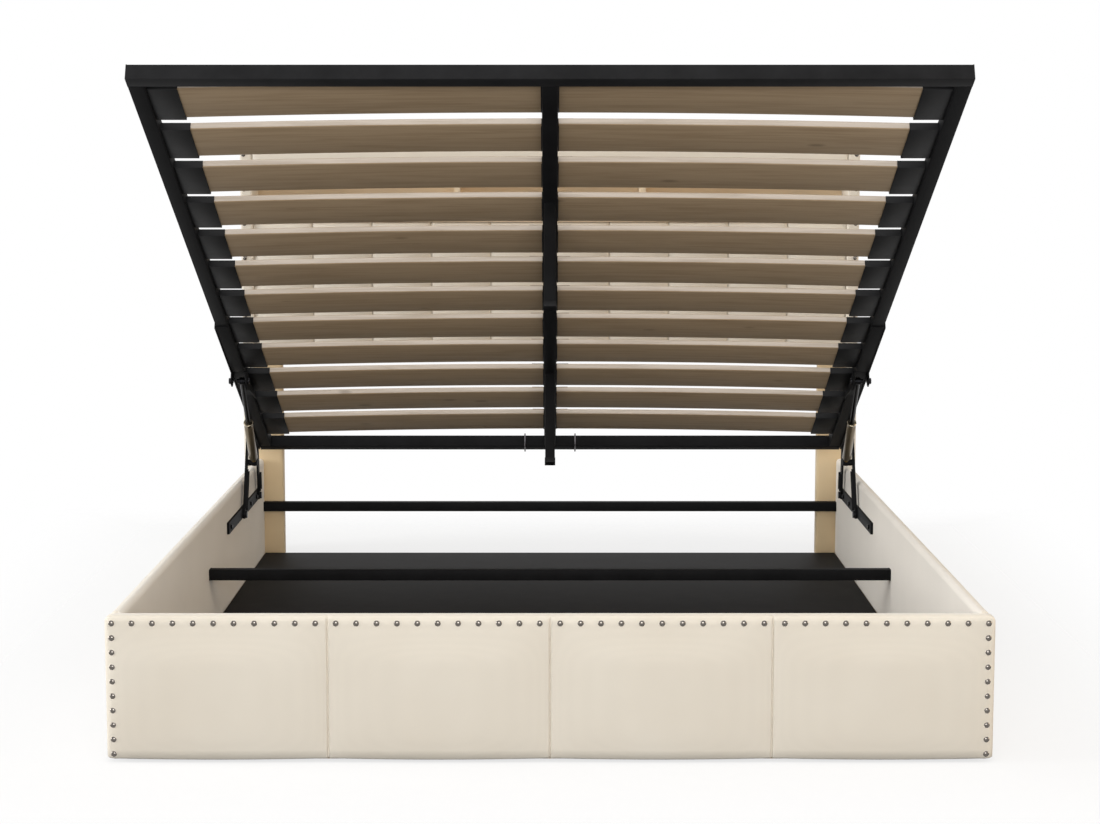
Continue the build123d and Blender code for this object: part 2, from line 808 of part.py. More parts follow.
def tube_across(u_low, half_length):
    """A square tube across the platform."""
    with BuildSketch(side_plane(-half_length)) as section:
        with Locations((-u_low - tube_size / 2, tube_size / 2)):
            Rectangle(tube_size, tube_size)
            Rectangle(tube_size - 2 * tube_wall, tube_size - 2 * tube_wall, mode=Mode.SUBTRACT)
    extrude(section.sketch, amount=2 * half_length)


# Platform frame: front and rear tubes with the side tubes and the centre beam between them
inner_u = (tube_size, platform_length - tube_size)
tube_half = platform_half - plug_thickness
for u_low, name in ((inner_u[1], "platform_front_tube"), (0, "platform_rear_tube")):
    with BuildPart() as end_tube:
        tube_across(u_low, tube_half)
    write(end_tube, name)

with BuildPart() as tube_plugs:
    for side, tag in sides:
        for u_low in (0, inner_u[1]):
            with BuildSketch(side_plane(side * tube_half)):
                with Locations((-u_low - tube_size / 2, tube_size / 2)):
                    Rectangle(tube_size, tube_size)
            extrude(amount=side * plug_thickness)
            plug_size = tube_size - 2 * tube_wall - 2 * plug_play
            with BuildSketch(side_plane(side * tube_half)):
                with Locations((-u_low - tube_size / 2, tube_size / 2)):
                    Rectangle(plug_size, plug_size)
            extrude(amount=-side * plug_depth)
write(tube_plugs, "tube_plugs")


def tube_along(x_middle, width):
    """A box tube from the rear tube to the front tube of the platform."""
    with BuildSketch(cross_plane(inner_u[0])) as section:
        with Locations((x_middle, tube_size / 2)):
            Rectangle(width, tube_size)
            Rectangle(width - 2 * tube_wall, tube_size - 2 * tube_wall, mode=Mode.SUBTRACT)
    extrude(section.sketch, amount=inner_u[1] - inner_u[0])


for side, tag in sides:
    with BuildPart() as side_tube:
        tube_along(side * (platform_half - tube_size / 2), tube_size)
        with BuildSketch(side_plane(side * (platform_half + overrun))):
            with Locations((-rear_u, link_pivot_lift)):
                Circle(pin_radius + pin_play)
        extrude(amount=-side * (tube_wall + overrun), mode=Mode.SUBTRACT)
    write(side_tube, "side_tube_" + tag)

with BuildPart() as centre_beam:
    tube_along(0, beam_width)
write(centre_beam, "centre_beam")

# Centre legs that stand on the base panels when the bed is closed
leg_reach = closed_rear[1] - panel_top - foot_cap_clearance
leg_places = [share * platform_length for share in (leg_front_share, leg_rear_share)]
with BuildPart() as centre_legs:
    with BuildSketch(flat_plane(0)):
        with Locations(*[(0, -u) for u in leg_places]):
            Rectangle(leg_size, leg_size)
            Rectangle(leg_size - 2 * bar_wall, leg_size - 2 * bar_wall, mode=Mode.SUBTRACT)
    extrude(amount=foot_cap_wall - leg_reach)
write(centre_legs, "centre_legs")

with BuildPart() as leg_caps:
    cap_outer = leg_size + 2 * foot_cap_wall
    with BuildSketch(flat_plane(-leg_reach)):
        with Locations(*[(0, -u) for u in leg_places]):
            Rectangle(cap_outer, cap_outer)
    extrude(amount=foot_cap_height)
    with BuildSketch(flat_plane(foot_cap_wall - leg_reach)):
        with Locations(*[(0, -u) for u in leg_places]):
            Rectangle(leg_size, leg_size)
    extrude(amount=foot_cap_height, mode=Mode.SUBTRACT)
write(leg_caps, "leg_caps")

# Wire hoops round the rear tube
with BuildPart() as tube_hoops:
    hoop_inner = tube_size + 2 * hoop_play
    hoop_outer = hoop_inner + 2 * hoop_wire
    for side, tag in sides:
        with BuildSketch(side_plane(side * hoop_spread - hoop_wire / 2)):
            with Locations((-tube_size / 2, tube_size / 2)):
                Rectangle(hoop_outer, hoop_outer)
                Rectangle(hoop_inner, hoop_inner, mode=Mode.SUBTRACT)
        extrude(amount=hoop_wire)
write(tube_hoops, "tube_hoops")

# Slats: two arched half slats in each row, laid in open caps on the side tubes
row_first = slat_first_gap + tube_size + slat_width / 2
row_last = platform_length - tube_size - slat_last_gap - slat_width / 2
rows = spread(row_first, row_last, slat_rows)
slat_inner_x = beam_half + holder_play + holder_web + holder_play
slat_outer_x = tube_inner - cap_length + slat_in_cap


def slat_height(x):
    """Underside of the arch at x, above the underside of the platform."""
    return slat_seat + slat_rise * (1 - (x / slat_outer_x) ** 2)


for side, tag in sides:
    with BuildPart() as slats:
        middle_x = (slat_inner_x + slat_outer_x) / 2
        for row in rows:
            with BuildSketch(cross_plane(row - slat_width / 2)):
                with BuildLine():
                    low = [(side * x, slat_height(x)) for x in (slat_inner_x, middle_x, slat_outer_x)]
                    high = [(x, v + slat_thickness) for x, v in reversed(low)]
                    ThreePointArc(*low)
                    Line(low[-1], high[0])
                    ThreePointArc(*high)
                    Line(high[-1], low[0])
                make_face()
            extrude(amount=slat_width)
    write(slats, "slats_" + tag)

    with BuildPart() as slat_caps:
        cap_x = side * (tube_inner - cap_length / 2)
        pocket_x = side * (tube_inner - cap_length + (slat_in_cap + cap_play) / 2)
        pocket_low = slat_height(slat_outer_x) - cap_play
        pocket_high = slat_height(slat_outer_x - slat_in_cap) + slat_thickness + cap_play
        with BuildSketch(flat_plane(cap_bottom)):
            with Locations(*[(cap_x, -row) for row in rows]):
                Rectangle(cap_length, slat_width + 2 * (cap_play + cap_side_wall))
        extrude(amount=cap_top - cap_bottom)
        with BuildSketch(flat_plane(pocket_low)):
            with Locations(*[(pocket_x - side * overrun / 2, -row) for row in rows]):
                Rectangle(slat_in_cap + cap_play + overrun, slat_width + 2 * cap_play)
        extrude(amount=pocket_high - pocket_low, mode=Mode.SUBTRACT)
    write(slat_caps, "slat_caps_" + tag)

# Holders that clip over the centre beam and grip the inner ends of the slats
with BuildPart() as centre_holders:
    web_inner = beam_half + holder_play
    web_outer = web_inner + holder_web
    grip_low = slat_height(slat_inner_x) - holder_play
    grip_high = slat_height(slat_inner_x) + slat_thickness + holder_play
    lip_outer = web_outer + holder_lip
    cover_outer = web_outer + holder_cover
    for row in rows:
        with BuildSketch(cross_plane(row - holder_length / 2)):
            with BuildLine():
                half_outline = [
                    (web_inner, tube_size), (web_inner, grip_low - holder_lip_thickness),
                    (lip_outer, grip_low - holder_lip_thickness), (lip_outer, grip_low), (web_outer, grip_low),
                    (web_outer, grip_high), (cover_outer, grip_high), (cover_outer, grip_high + holder_top),
                ]
                other_half = [(-x, v) for x, v in reversed(half_outline)]
                Polyline(*half_outline, *other_half, close=True)
            make_face()
        extrude(amount=holder_length)
write(centre_holders, "centre_slat_holders")

# Hinge bars on the rails
for side, tag in sides:
    with BuildPart() as hinge_bar:
        with BuildSketch(Plane.YZ.offset(side * inner_half)):
            with Locations(((hinge_bar_front + hinge_bar_rear) / 2, hinge_bar_z)):
                Rectangle(hinge_bar_length, hinge_bar_height)
            with Locations(rear_pivot, front_pivot):
                Circle(pin_radius + pin_play, mode=Mode.SUBTRACT)
            with Locations(*[(y, z) for y, z, grip in bolts_on_rail if grip == hinge_bar_thickness]):
                Circle(bolt_radius + bolt_play, mode=Mode.SUBTRACT)
        extrude(amount=-side * hinge_bar_thickness)
    write(hinge_bar, "hinge_bar_" + tag)

# Pins on the hinge bars for the links
with BuildPart() as lower_pins:
    for side, tag in sides:
        with BuildSketch(Plane.YZ.offset(side * (inner_half - pin_play))):
            with Locations(rear_pivot, front_pivot):
                Circle(pin_radius)
        extrude(amount=-side * (inner_half - link_inner - pin_play + link_gap))
        with BuildSketch(Plane.YZ.offset(side * (link_inner - link_gap))):
            with Locations(rear_pivot, front_pivot):
                Circle(pin_head_radius)
        extrude(amount=-side * pin_head_height)
write(lower_pins, "lower_pivot_pins")


def link_bar(base, tip, plane_x, side, holes, rim_end_share):
    """A link with round ends from base to tip, with its edges folded inwards on the lower part."""
    turn, reach = turn_and_reach(base, tip)
    with BuildSketch(Plane.YZ.offset(side * plane_x)) as outline:
        with Locations(Location(((base[0] + tip[0]) / 2, (base[1] + tip[1]) / 2, 0), (0, 0, turn))):
            SlotCenterToCenter(reach, link_width)
        with Locations(*holes):
            Circle(pin_radius + pin_play, mode=Mode.SUBTRACT)
    extrude(outline.sketch, amount=-side * link_thickness)
    rim_length = rim_end_share * reach - link_rim_start
    middle_share = (link_rim_start + rim_length / 2) / reach
    middle = tuple(low + middle_share * (high - low) for low, high in zip(base, tip))
    rim_offset = (link_width - link_rim) / 2
    with BuildSketch(Plane.YZ.offset(side * (plane_x - link_thickness))) as rims:
        with Locations(Location((middle[0], middle[1], 0), (0, 0, turn))):
            with Locations((0, -rim_offset), (0, rim_offset)):
                Rectangle(rim_length, link_rim)
    extrude(rims.sketch, amount=-side * link_rim_depth)


for side, tag in sides:
    with BuildPart() as rear_link:
        link_bar(rear_pivot, rear_top, link_outer, side, [rear_pivot, rear_top], rear_rim_end_share)
    write(rear_link, "rear_link_" + tag)

    # The front link ends in its own rivet, because its upper pivot is the open one. A stud
    # with a head is riveted to it for the strut's lower eye
    with BuildPart() as front_link:
        link_bar(front_pivot, front_top, link_outer, side, [front_pivot], front_rim_end_share)
        with BuildSketch(Plane.YZ.offset(side * link_outer)):
            with Locations(front_top):
                Circle(upper_head_radius)
        extrude(amount=side * upper_head_height)
        eye_inner = strut_lower_x - strut_eye_width / 2 - link_gap
        with BuildSketch(Plane.YZ.offset(side * link_inner)):
            with Locations(strut_pivot):
                Circle(pin_radius)
        extrude(amount=-side * (link_inner - eye_inner))
        collar_inner = strut_lower_x + strut_eye_width / 2 + link_gap
        with BuildSketch(Plane.YZ.offset(side * link_inner)):
            with Locations(strut_pivot):
                Circle(upper_head_radius)
        extrude(amount=-side * (link_inner - collar_inner))
        with BuildSketch(Plane.YZ.offset(side * eye_inner)):
            with Locations(strut_pivot):
                Circle(upper_head_radius)
        extrude(amount=-side * upper_head_height)
    write(front_link, "front_link_" + tag)

# Pins through the brackets and the side tubes for the rear links
with BuildPart() as upper_pins:
    for side, tag in sides:
        pin_start = platform_half - tube_wall
        with BuildSketch(side_plane(side * pin_start)):
            with Locations((-rear_u, link_pivot_lift)):
                Circle(pin_radius)
        extrude(amount=side * (link_outer + link_gap - pin_start))
        with BuildSketch(side_plane(side * (link_outer + link_gap))):
            with Locations((-rear_u, link_pivot_lift)):
                Circle(upper_head_radius)
        extrude(amount=side * upper_head_height)
write(upper_pins, "upper_pivot_pins")

# Lift brackets: an angle along each side tube with a lug for the strut's pin
for side, tag in sides:
    with BuildPart() as lift_bracket:
        with BuildSketch(side_plane(side * platform_half)):
            with BuildLine():
                Polyline(
                    (-bracket_front_u, -bracket_hang),
                    (-strut_pin_u - lug_half, -bracket_hang),
                    (-strut_pin_u - lug_half, -lug_drop + lug_half / 2),
                    (-strut_pin_u - lug_half / 2, -lug_drop),
                    (-strut_pin_u + lug_half / 2, -lug_drop),
                    (-strut_pin_u + lug_half, -lug_drop + lug_half / 2),
                    (-strut_pin_u + lug_half, -bracket_hang),
                    (-bracket_rear_u, -bracket_hang),
                    (-bracket_rear_u, bracket_rise),
                    (-bracket_front_u + bracket_chamfer, bracket_rise),
                    (-bracket_front_u, bracket_rise - bracket_chamfer),
                    close=True,
                )
            make_face()
            with Locations((-rear_u, link_pivot_lift)):
                Circle(pin_radius + pin_play, mode=Mode.SUBTRACT)
            with Locations((-strut_pin_u, -strut_pin_drop)):
                Circle(pin_radius + pin_play, mode=Mode.SUBTRACT)
        extrude(amount=side * bracket_thickness)
        foot_middle = (bracket_front_u + bracket_foot_rear_u) / 2
        with BuildSketch(flat_plane(-bracket_thickness)):
            with Locations((side * (tube_inner + platform_half) / 2, -foot_middle)):
                Rectangle(tube_size, bracket_front_u - bracket_foot_rear_u)
        extrude(amount=bracket_thickness)
    write(lift_bracket, "lift_bracket_" + tag)

# Leaf-shaped cheeks on the inner side of the strut's pins, each with a foot under the tube
cheek_outer = tube_inner - cheek_reach + cheek_thickness
cheek_inner = cheek_outer - cheek_thickness
cheek_front_u = strut_pin_u + cheek_front
cheek_tip_u = strut_pin_u - 2 * cheek_front
cheek_tip_v = -strut_pin_drop - cheek_front / 2
cheek_foot_front_u = bracket_foot_rear_u - cheek_foot_gap
with BuildPart() as pin_cheeks:
    for side, tag in sides:
        with BuildSketch(side_plane(side * cheek_outer)):
            with BuildLine():
                Polyline((-cheek_tail_u, 0), (-cheek_front_u, 0), (-cheek_front_u, -strut_pin_drop))
                ThreePointArc(
                    (-cheek_front_u, -strut_pin_drop),
                    (-strut_pin_u, -cheek_depth),
                    (-cheek_tip_u, cheek_tip_v),
                )
                Line((-cheek_tip_u, cheek_tip_v), (-cheek_tail_u, 0))
            make_face()
            with Locations((-strut_pin_u, -strut_pin_drop)):
                Circle(pin_radius + pin_play, mode=Mode.SUBTRACT)
        extrude(amount=-side * cheek_thickness)
        cheek_foot_x = side * (cheek_outer + platform_half) / 2
        with BuildSketch(flat_plane(-bracket_thickness)):
            with Locations((cheek_foot_x, -(cheek_foot_rear_u + cheek_foot_front_u) / 2)):
                Rectangle(platform_half - cheek_outer, cheek_foot_front_u - cheek_foot_rear_u)
        extrude(amount=bracket_thickness)
write(pin_cheeks, "pin_cheeks")

# Bolts through the lug and the cheek at the strut's upper pin
with BuildPart() as strut_pin_bolts:
    for side, tag in sides:
        lug_face = platform_half + bracket_thickness
        for face, way, grip in (
            (side * lug_face, side, bracket_thickness + pin_stub),
            (side * cheek_inner, -side, cheek_thickness + pin_stub),
        ):
            with BuildSketch(side_plane(face)):
                with Locations((-strut_pin_u, -strut_pin_drop)):
                    RegularPolygon(pin_bolt_head_radius, 6)
            extrude(amount=way * pin_bolt_head_height)
            with BuildSketch(side_plane(face)):
                with Locations((-strut_pin_u, -strut_pin_drop)):
                    Circle(pin_radius)
            extrude(amount=-way * grip)
write(strut_pin_bolts, "strut_pin_bolts")


# Gas struts: each leans a little towards the middle of the bed from its lower pin up
strut_axis = hypot(strut_open, strut_upper_x - strut_lower_x)


def strut_plane(side, reach):
    """Plane across the strut's axis at a distance from its lower pin."""
    lean = side * (strut_upper_x - strut_lower_x) / strut_axis
    rise = radians(strut_turn)
    flat = strut_open / strut_axis
    direction = (lean, flat * cos(rise), flat * sin(rise))
    origin = (
        side * strut_lower_x + lean * reach,
        strut_pivot[0] + flat * reach * cos(rise),
        strut_pivot[1] + flat * reach * sin(rise),
    )
    return Plane(origin=origin, x_dir=(0, -sin(rise), cos(rise)), z_dir=direction)


strut_top_d = strut_neck_length + strut_body
piston_d = strut_top_d - strut_gland - strut_end_gap - piston_length
for side, tag in sides:
    with BuildPart() as strut_cylinder:
        with BuildSketch(strut_plane(side, 0)):
            Circle(strut_neck_radius)
        extrude(amount=strut_neck_length)
        with BuildSketch(strut_plane(side, strut_neck_length)):
            Circle(strut_radius)
        extrude(amount=strut_body)
        with BuildSketch(strut_plane(side, strut_neck_length + strut_floor)):
            Circle(strut_radius - strut_wall)
        extrude(amount=strut_body - strut_floor - strut_gland, mode=Mode.SUBTRACT)
        with BuildSketch(strut_plane(side, strut_top_d - strut_gland - overrun)):
            Circle(rod_radius + rod_play)
        extrude(amount=strut_gland + 2 * overrun, mode=Mode.SUBTRACT)
        with BuildSketch(Plane.YZ.offset(side * (strut_lower_x - strut_eye_width / 2))):
            with Locations(strut_pivot):
                Circle(strut_eye_radius)
        extrude(amount=side * strut_eye_width)
        with BuildSketch(Plane.YZ.offset(side * (strut_lower_x - strut_eye_width / 2 - overrun))):
            with Locations(strut_pivot):
                Circle(pin_radius + pin_play)
        extrude(amount=side * (strut_eye_width + 2 * overrun), mode=Mode.SUBTRACT)
    write(strut_cylinder, "strut_cylinder_" + tag)

    # The rod's bolt slides with it and stops short of the lug, because this pivot is open
    with BuildPart() as strut_rod:
        with BuildSketch(strut_plane(side, piston_d)):
            Circle(strut_radius - strut_wall - piston_play)
        extrude(amount=piston_length)
        with BuildSketch(strut_plane(side, piston_d)):
            Circle(rod_radius)
        extrude(amount=strut_axis - piston_d)
        with BuildSketch(Plane.YZ.offset(side * (strut_upper_x - rod_eye_width / 2))):
            with Locations(strut_top):
                Circle(strut_eye_radius)
        extrude(amount=side * rod_eye_width)
        with BuildSketch(Plane.YZ.offset(side * (strut_upper_x - rod_bolt_inner))):
            with Locations(strut_top):
                Circle(pin_radius)
        extrude(amount=side * (rod_bolt_inner + rod_bolt_outer))
    write(strut_rod, "strut_rod_" + tag)

# Joint places and ranges for the record, in millimetres and degrees
for name, base, tip, closed_base, closed_tip in (
    ("rear link", rear_pivot, rear_top, rear_pivot, rear_top_closed),
    ("front link", front_pivot, front_top, front_pivot, front_top_closed),
    ("strut", strut_pivot, strut_top, strut_pivot_closed, strut_top_closed),
):
    start, reach = turn_and_reach(base, tip)
    end, closed_reach = turn_and_reach(closed_base, closed_tip)
    print(name, "base", base, "tip", tip, "from", start, "to", end % 360, "reach", reach, closed_reach)
print("strut stroke along its lean", strut_stroke * strut_axis / strut_open)
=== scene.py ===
import json
import math

import bmesh
import bpy
import numpy as np
from mathutils import Matrix, Vector


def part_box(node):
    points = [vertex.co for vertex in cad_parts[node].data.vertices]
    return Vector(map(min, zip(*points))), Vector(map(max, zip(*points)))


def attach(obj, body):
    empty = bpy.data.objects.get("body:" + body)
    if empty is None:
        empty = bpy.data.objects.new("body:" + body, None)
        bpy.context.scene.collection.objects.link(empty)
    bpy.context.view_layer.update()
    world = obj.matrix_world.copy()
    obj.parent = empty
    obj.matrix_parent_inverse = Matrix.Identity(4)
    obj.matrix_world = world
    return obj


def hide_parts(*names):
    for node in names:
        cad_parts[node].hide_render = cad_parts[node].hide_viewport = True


# Ottoman storage bed. Metres, in the frame of the solids: +Y towards the headboard, +Z up,
# the origin on the floor under the middle of the bed.

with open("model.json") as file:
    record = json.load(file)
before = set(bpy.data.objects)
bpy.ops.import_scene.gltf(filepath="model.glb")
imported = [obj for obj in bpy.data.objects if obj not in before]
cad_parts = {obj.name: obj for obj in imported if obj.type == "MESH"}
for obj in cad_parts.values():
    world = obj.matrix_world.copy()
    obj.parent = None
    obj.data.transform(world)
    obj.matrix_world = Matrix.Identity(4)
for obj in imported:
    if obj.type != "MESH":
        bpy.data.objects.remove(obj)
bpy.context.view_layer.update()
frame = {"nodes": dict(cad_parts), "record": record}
nodes = frame["nodes"]
scene = bpy.context.scene

# The raised platform's own axes: X, towards the head, and up from the slats
LIFT = math.radians(26.9)
OPEN_REAR = Vector((0.0, 0.7855, 0.3196))

# The bed's main faces, from the solids
foot_low, foot_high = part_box("footboard_cover")
channel_low, channel_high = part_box("headboard_channels")
band_low, band_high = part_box("headboard_top_band")
FOOT_PANELS = 4
CHANNELS = 10


# Colours


def srgb(red, green, blue):
    """A colour given in 0 to 255 screen values, as linear values."""
    return tuple(
        v / 12.92 if v <= 0.04045 else ((v + 0.055) / 1.055) ** 2.4
        for v in (red / 255, green / 255, blue / 255)
    )


def scaled(colour, factor):
    """A colour made darker or lighter."""
    return tuple(v * factor for v in colour)


CREAM = srgb(227, 219, 205)
CREAM_SHADE = srgb(222, 213, 198)
# Painted shade: the headboard legs' cream is darker and warmer than the rest of the upholstery, for the warm
# shade on the legs.
LEG_CREAM_PAINTED_SHADE = srgb(216, 193, 156)
LEG_BLOTCH_PAINTED_SHADE = srgb(208, 184, 146)
# Painted light: the rails' inner cloth is the cream made lighter and whiter, for the light falling on the
# inner faces.
LINING_PAINTED_LIGHT = srgb(236, 230, 220)
SHELF_TAN = srgb(226, 206, 176)
# Painted shade: the slats' birch is darker and browner than the wood, for the shade on their undersides.
BIRCH_PAINTED_SHADE = srgb(176, 153, 124)
BIRCH_DARK_PAINTED_SHADE = srgb(156, 132, 103)
BLACK = srgb(22, 22, 23)
# Painted sheen: the front tube's black is lighter than the rest of the frame, for the soft highlight from
# above on its face.
FRONT_BLACK_PAINTED_SHEEN = srgb(32, 32, 33)


# Node materials


class Nodes:
    """A node tree under construction."""

    def __init__(self, tree):
        self.tree = tree

    def add(self, kind, **values):
        node = self.tree.nodes.new(kind)
        for name, value in values.items():
            setattr(node, name, value)
        return node

    def link(self, source, target):
        self.tree.links.new(source, target)

    def feed(self, socket, value):
        """Links a socket, or sets it where the value is a number or a colour."""
        if isinstance(value, (int, float)):
            socket.default_value = value
        elif isinstance(value, tuple):
            socket.default_value = (*value, 1.0)
        else:
            self.link(value, socket)

    def math(self, operation, first, second=0.0):
        node = self.add("ShaderNodeMath", operation=operation)
        self.feed(node.inputs[0], first)
        self.feed(node.inputs[1], second)
        return node.outputs["Value"]

    def mix(self, factor, first, second):
        """A mix of two colours."""
        node = self.add("ShaderNodeMix", data_type="RGBA")
        self.feed(node.inputs[0], factor)
        self.feed(node.inputs[6], first)
        self.feed(node.inputs[7], second)
        return node.outputs[2]

    def blend(self, factor, first, second):
        """A mix of two shaders."""
        node = self.add("ShaderNodeMixShader")
        self.feed(node.inputs[0], factor)
        self.link(first, node.inputs[1])
        self.link(second, node.inputs[2])
        return node.outputs[0]

    def parts(self, source):
        """The X, Y and Z of a vector."""
        node = self.add("ShaderNodeSeparateXYZ")
        self.link(source, node.inputs["Vector"])
        return node.outputs

    def seen_rays(self):
        """1 for camera, glossy and transmission rays, and 0 for the others."""
        path = self.add("ShaderNodeLightPath").outputs
        direct = self.math("MAXIMUM", path["Is Camera Ray"], path["Is Glossy Ray"])
        return self.math("MAXIMUM", direct, path["Is Transmission Ray"])


class Look(Nodes):
    """A node material under construction."""

    def __init__(self, name, **settings):
        self.material = bpy.data.materials.new(name)
        self.material.use_nodes = True
        super().__init__(self.material.node_tree)
        self.shader = self.tree.nodes["Principled BSDF"]
        for socket, value in settings.items():
            self.shader.inputs[socket.replace("_", " ")].default_value = value
        self.place = self.add("ShaderNodeTexCoord").outputs["Object"]
        self.height = None

    def stretched(self, scale):
        """The place, scaled by axis."""
        node = self.add("ShaderNodeMapping")
        node.inputs["Scale"].default_value = scale
        self.link(self.place, node.inputs["Vector"])
        return node.outputs["Vector"]

    def noise(self, scale, detail=3.0, stretch=None, rough=0.5, warp=0.0):
        node = self.add("ShaderNodeTexNoise")
        self.link(self.stretched(stretch) if stretch else self.place, node.inputs["Vector"])
        node.inputs["Scale"].default_value = scale
        node.inputs["Detail"].default_value = detail
        node.inputs["Roughness"].default_value = rough
        node.inputs["Distortion"].default_value = warp
        return node.outputs["Fac"]

    def ramp(self, value, *stops):
        node = self.add("ShaderNodeValToRGB")
        ramp = node.color_ramp
        for n, (at, colour) in enumerate(stops):
            stop = ramp.elements[n] if n < 2 else ramp.elements.new(at)
            stop.position = at
            stop.color = (*colour, 1.0)
        self.link(value, node.inputs["Fac"])
        return node.outputs["Color"]

    def between(self, value, low, high):
        """A value from 0 to 1 mapped to the range from low to high."""
        return self.math("ADD", self.math("MULTIPLY", value, high - low), low)

    def raise_by(self, value, depth):
        """Adds to the surface's height, in metres."""
        value = self.math("MULTIPLY", value, depth)
        self.height = value if self.height is None else self.math("ADD", self.height, value)

    def done(self, colour=None, rough=None):
        if colour is not None:
            self.link(colour, self.shader.inputs["Base Color"])
        if rough is not None:
            self.link(rough, self.shader.inputs["Roughness"])
        if self.height is not None:
            bump = self.add("ShaderNodeBump")
            bump.inputs["Distance"].default_value = 1.0
            bump.inputs["Strength"].default_value = 1.0
            self.link(self.height, bump.inputs["Height"])
            self.link(bump.outputs["Normal"], self.shader.inputs["Normal"])
        return self.material


WEAVE_PITCH = 0.0012
WEAVE_DEPTH = 0.00012
YARN_DEPTH = 0.00008
PADDING_DEPTH = 0.0003
PEEL_DEPTH = 0.00010
SPARK_DEPTH = 0.00006
PORE_DEPTH = 0.00008
GRAIN_DEPTH = 0.0002
CHIP_DEPTH = 0.0001
SCRATCH_DEPTH = 0.00002
ENAMEL_DEPTH = 0.00003


def weave(look, pitch):
    """A plain weave from three crossed waves, which needs no UV map on faces along the axes."""
    parts = look.parts(look.place)
    total = None
    for axis in "XYZ":
        wave = look.math("SINE", look.math("MULTIPLY", parts[axis], 2 * math.pi / pitch))
        total = wave if total is None else look.math("ADD", total, wave)
    return look.math("ADD", look.math("MULTIPLY", total, 1 / 6), 0.5)


def upholstery(name, light, dark, sheen=0.35):
    """Closely woven upholstery with uneven yarn, faint blotches and a soft nap."""
    look = Look(name, Sheen_Weight=sheen, Sheen_Roughness=0.45, Specular_IOR_Level=0.2)
    threads = weave(look, WEAVE_PITCH)
    yarn = look.noise(900.0, 2.0)
    blotch = look.noise(4.0, 3.0, rough=0.5)
    colour = look.ramp(blotch, (0.3, dark), (0.65, light))
    colour = look.mix(look.math("MULTIPLY", yarn, 0.16), colour, scaled(light, 0.84))
    # Painted shade: the weave's hollows are drawn darker.
    shade = look.math("MULTIPLY", look.math("SUBTRACT", 1.0, threads), 0.1)
    colour = look.mix(shade, colour, scaled(light, 0.65))
    look.raise_by(threads, WEAVE_DEPTH)
    look.raise_by(yarn, YARN_DEPTH)
    look.raise_by(look.noise(18.0, 2.0), PADDING_DEPTH)
    return look.done(colour, look.between(blotch, 0.8, 0.9))


def powder_coat(name, base, low=0.5, high=0.62):
    """Black powder coat: a fine orange peel, worn a little lighter in patches."""
    look = Look(name, Specular_IOR_Level=0.06)
    patch = look.noise(14.0, 5.0, rough=0.65)
    colour = look.ramp(patch, (0.35, scaled(base, 0.75)), (0.75, scaled(base, 1.25)))
    look.raise_by(look.noise(420.0, 2.0), PEEL_DEPTH)
    return look.done(colour, look.between(patch, low, high))


def plastic(name, base):
    """Moulded black plastic with a fine spark-eroded grain."""
    look = Look(name, Specular_IOR_Level=0.16)
    patch = look.noise(40.0, 3.0)
    colour = look.ramp(patch, (0.3, scaled(base, 0.8)), (0.7, scaled(base, 1.2)))
    look.raise_by(look.noise(1300.0, 2.0), SPARK_DEPTH)
    return look.done(colour, look.between(patch, 0.46, 0.58))


def birch(name, light, dark, layered=False):
    """Birch veneer with long grain and small knots, or its edge. The argument layered is not used."""
    look = Look(name, Specular_IOR_Level=0.25)
    grain = look.noise(7.0, 5.0, stretch=(0.7, 16.0, 16.0), rough=0.55, warp=0.6)
    fine = look.noise(90.0, 3.0, stretch=(0.4, 9.0, 9.0))
    colour = look.ramp(grain, (0.28, dark), (0.56, light), (0.75, scaled(light, 1.05)))
    colour = look.mix(look.math("MULTIPLY", fine, 0.3), colour, scaled(light, 0.78))
    knots = look.add("ShaderNodeTexVoronoi")
    look.link(look.stretched((1.4, 4.0, 4.0)), knots.inputs["Vector"])
    knots.inputs["Scale"].default_value = 3.3
    spot = look.ramp(knots.outputs["Distance"], (0.045, (1.0, 1.0, 1.0)), (0.10, (0.0, 0.0, 0.0)))
    colour = look.mix(look.math("MULTIPLY", spot, 0.55), colour, scaled(dark, 0.45))
    look.raise_by(fine, PORE_DEPTH)
    look.raise_by(grain, GRAIN_DEPTH)
    return look.done(colour, look.between(grain, 0.45, 0.62))


def board(name, light, dark):
    """Pressed board with fine chips."""
    look = Look(name, Specular_IOR_Level=0.3)
    chips = look.noise(160.0, 4.0, rough=0.7)
    colour = look.ramp(chips, (0.35, dark), (0.65, light))
    look.raise_by(chips, CHIP_DEPTH)
    return look.done(colour, look.between(chips, 0.6, 0.75))


def bare_metal(name, base, low, high, scratch=(1.0, 1.0, 1.0)):
    """Bare or plated metal with fine scratches."""
    look = Look(name, Metallic=1.0)
    marks = look.noise(180.0, 4.0, stretch=scratch, rough=0.6)
    colour = look.ramp(marks, (0.3, scaled(base, 0.85)), (0.7, base))
    look.raise_by(marks, SCRATCH_DEPTH)
    return look.done(colour, look.between(marks, low, high))


def enamel(name, base):
    """Smooth grey-brown enamel on the gas cylinders."""
    look = Look(name, Metallic=0.6, Coat_Weight=0.25, Coat_Roughness=0.2)
    patch = look.noise(30.0, 4.0)
    colour = look.ramp(patch, (0.3, scaled(base, 0.85)), (0.7, scaled(base, 1.12)))
    look.raise_by(look.noise(500.0, 2.0), ENAMEL_DEPTH)
    return look.done(colour, look.between(patch, 0.32, 0.42))


cream = upholstery("cream_upholstery", CREAM, CREAM_SHADE)
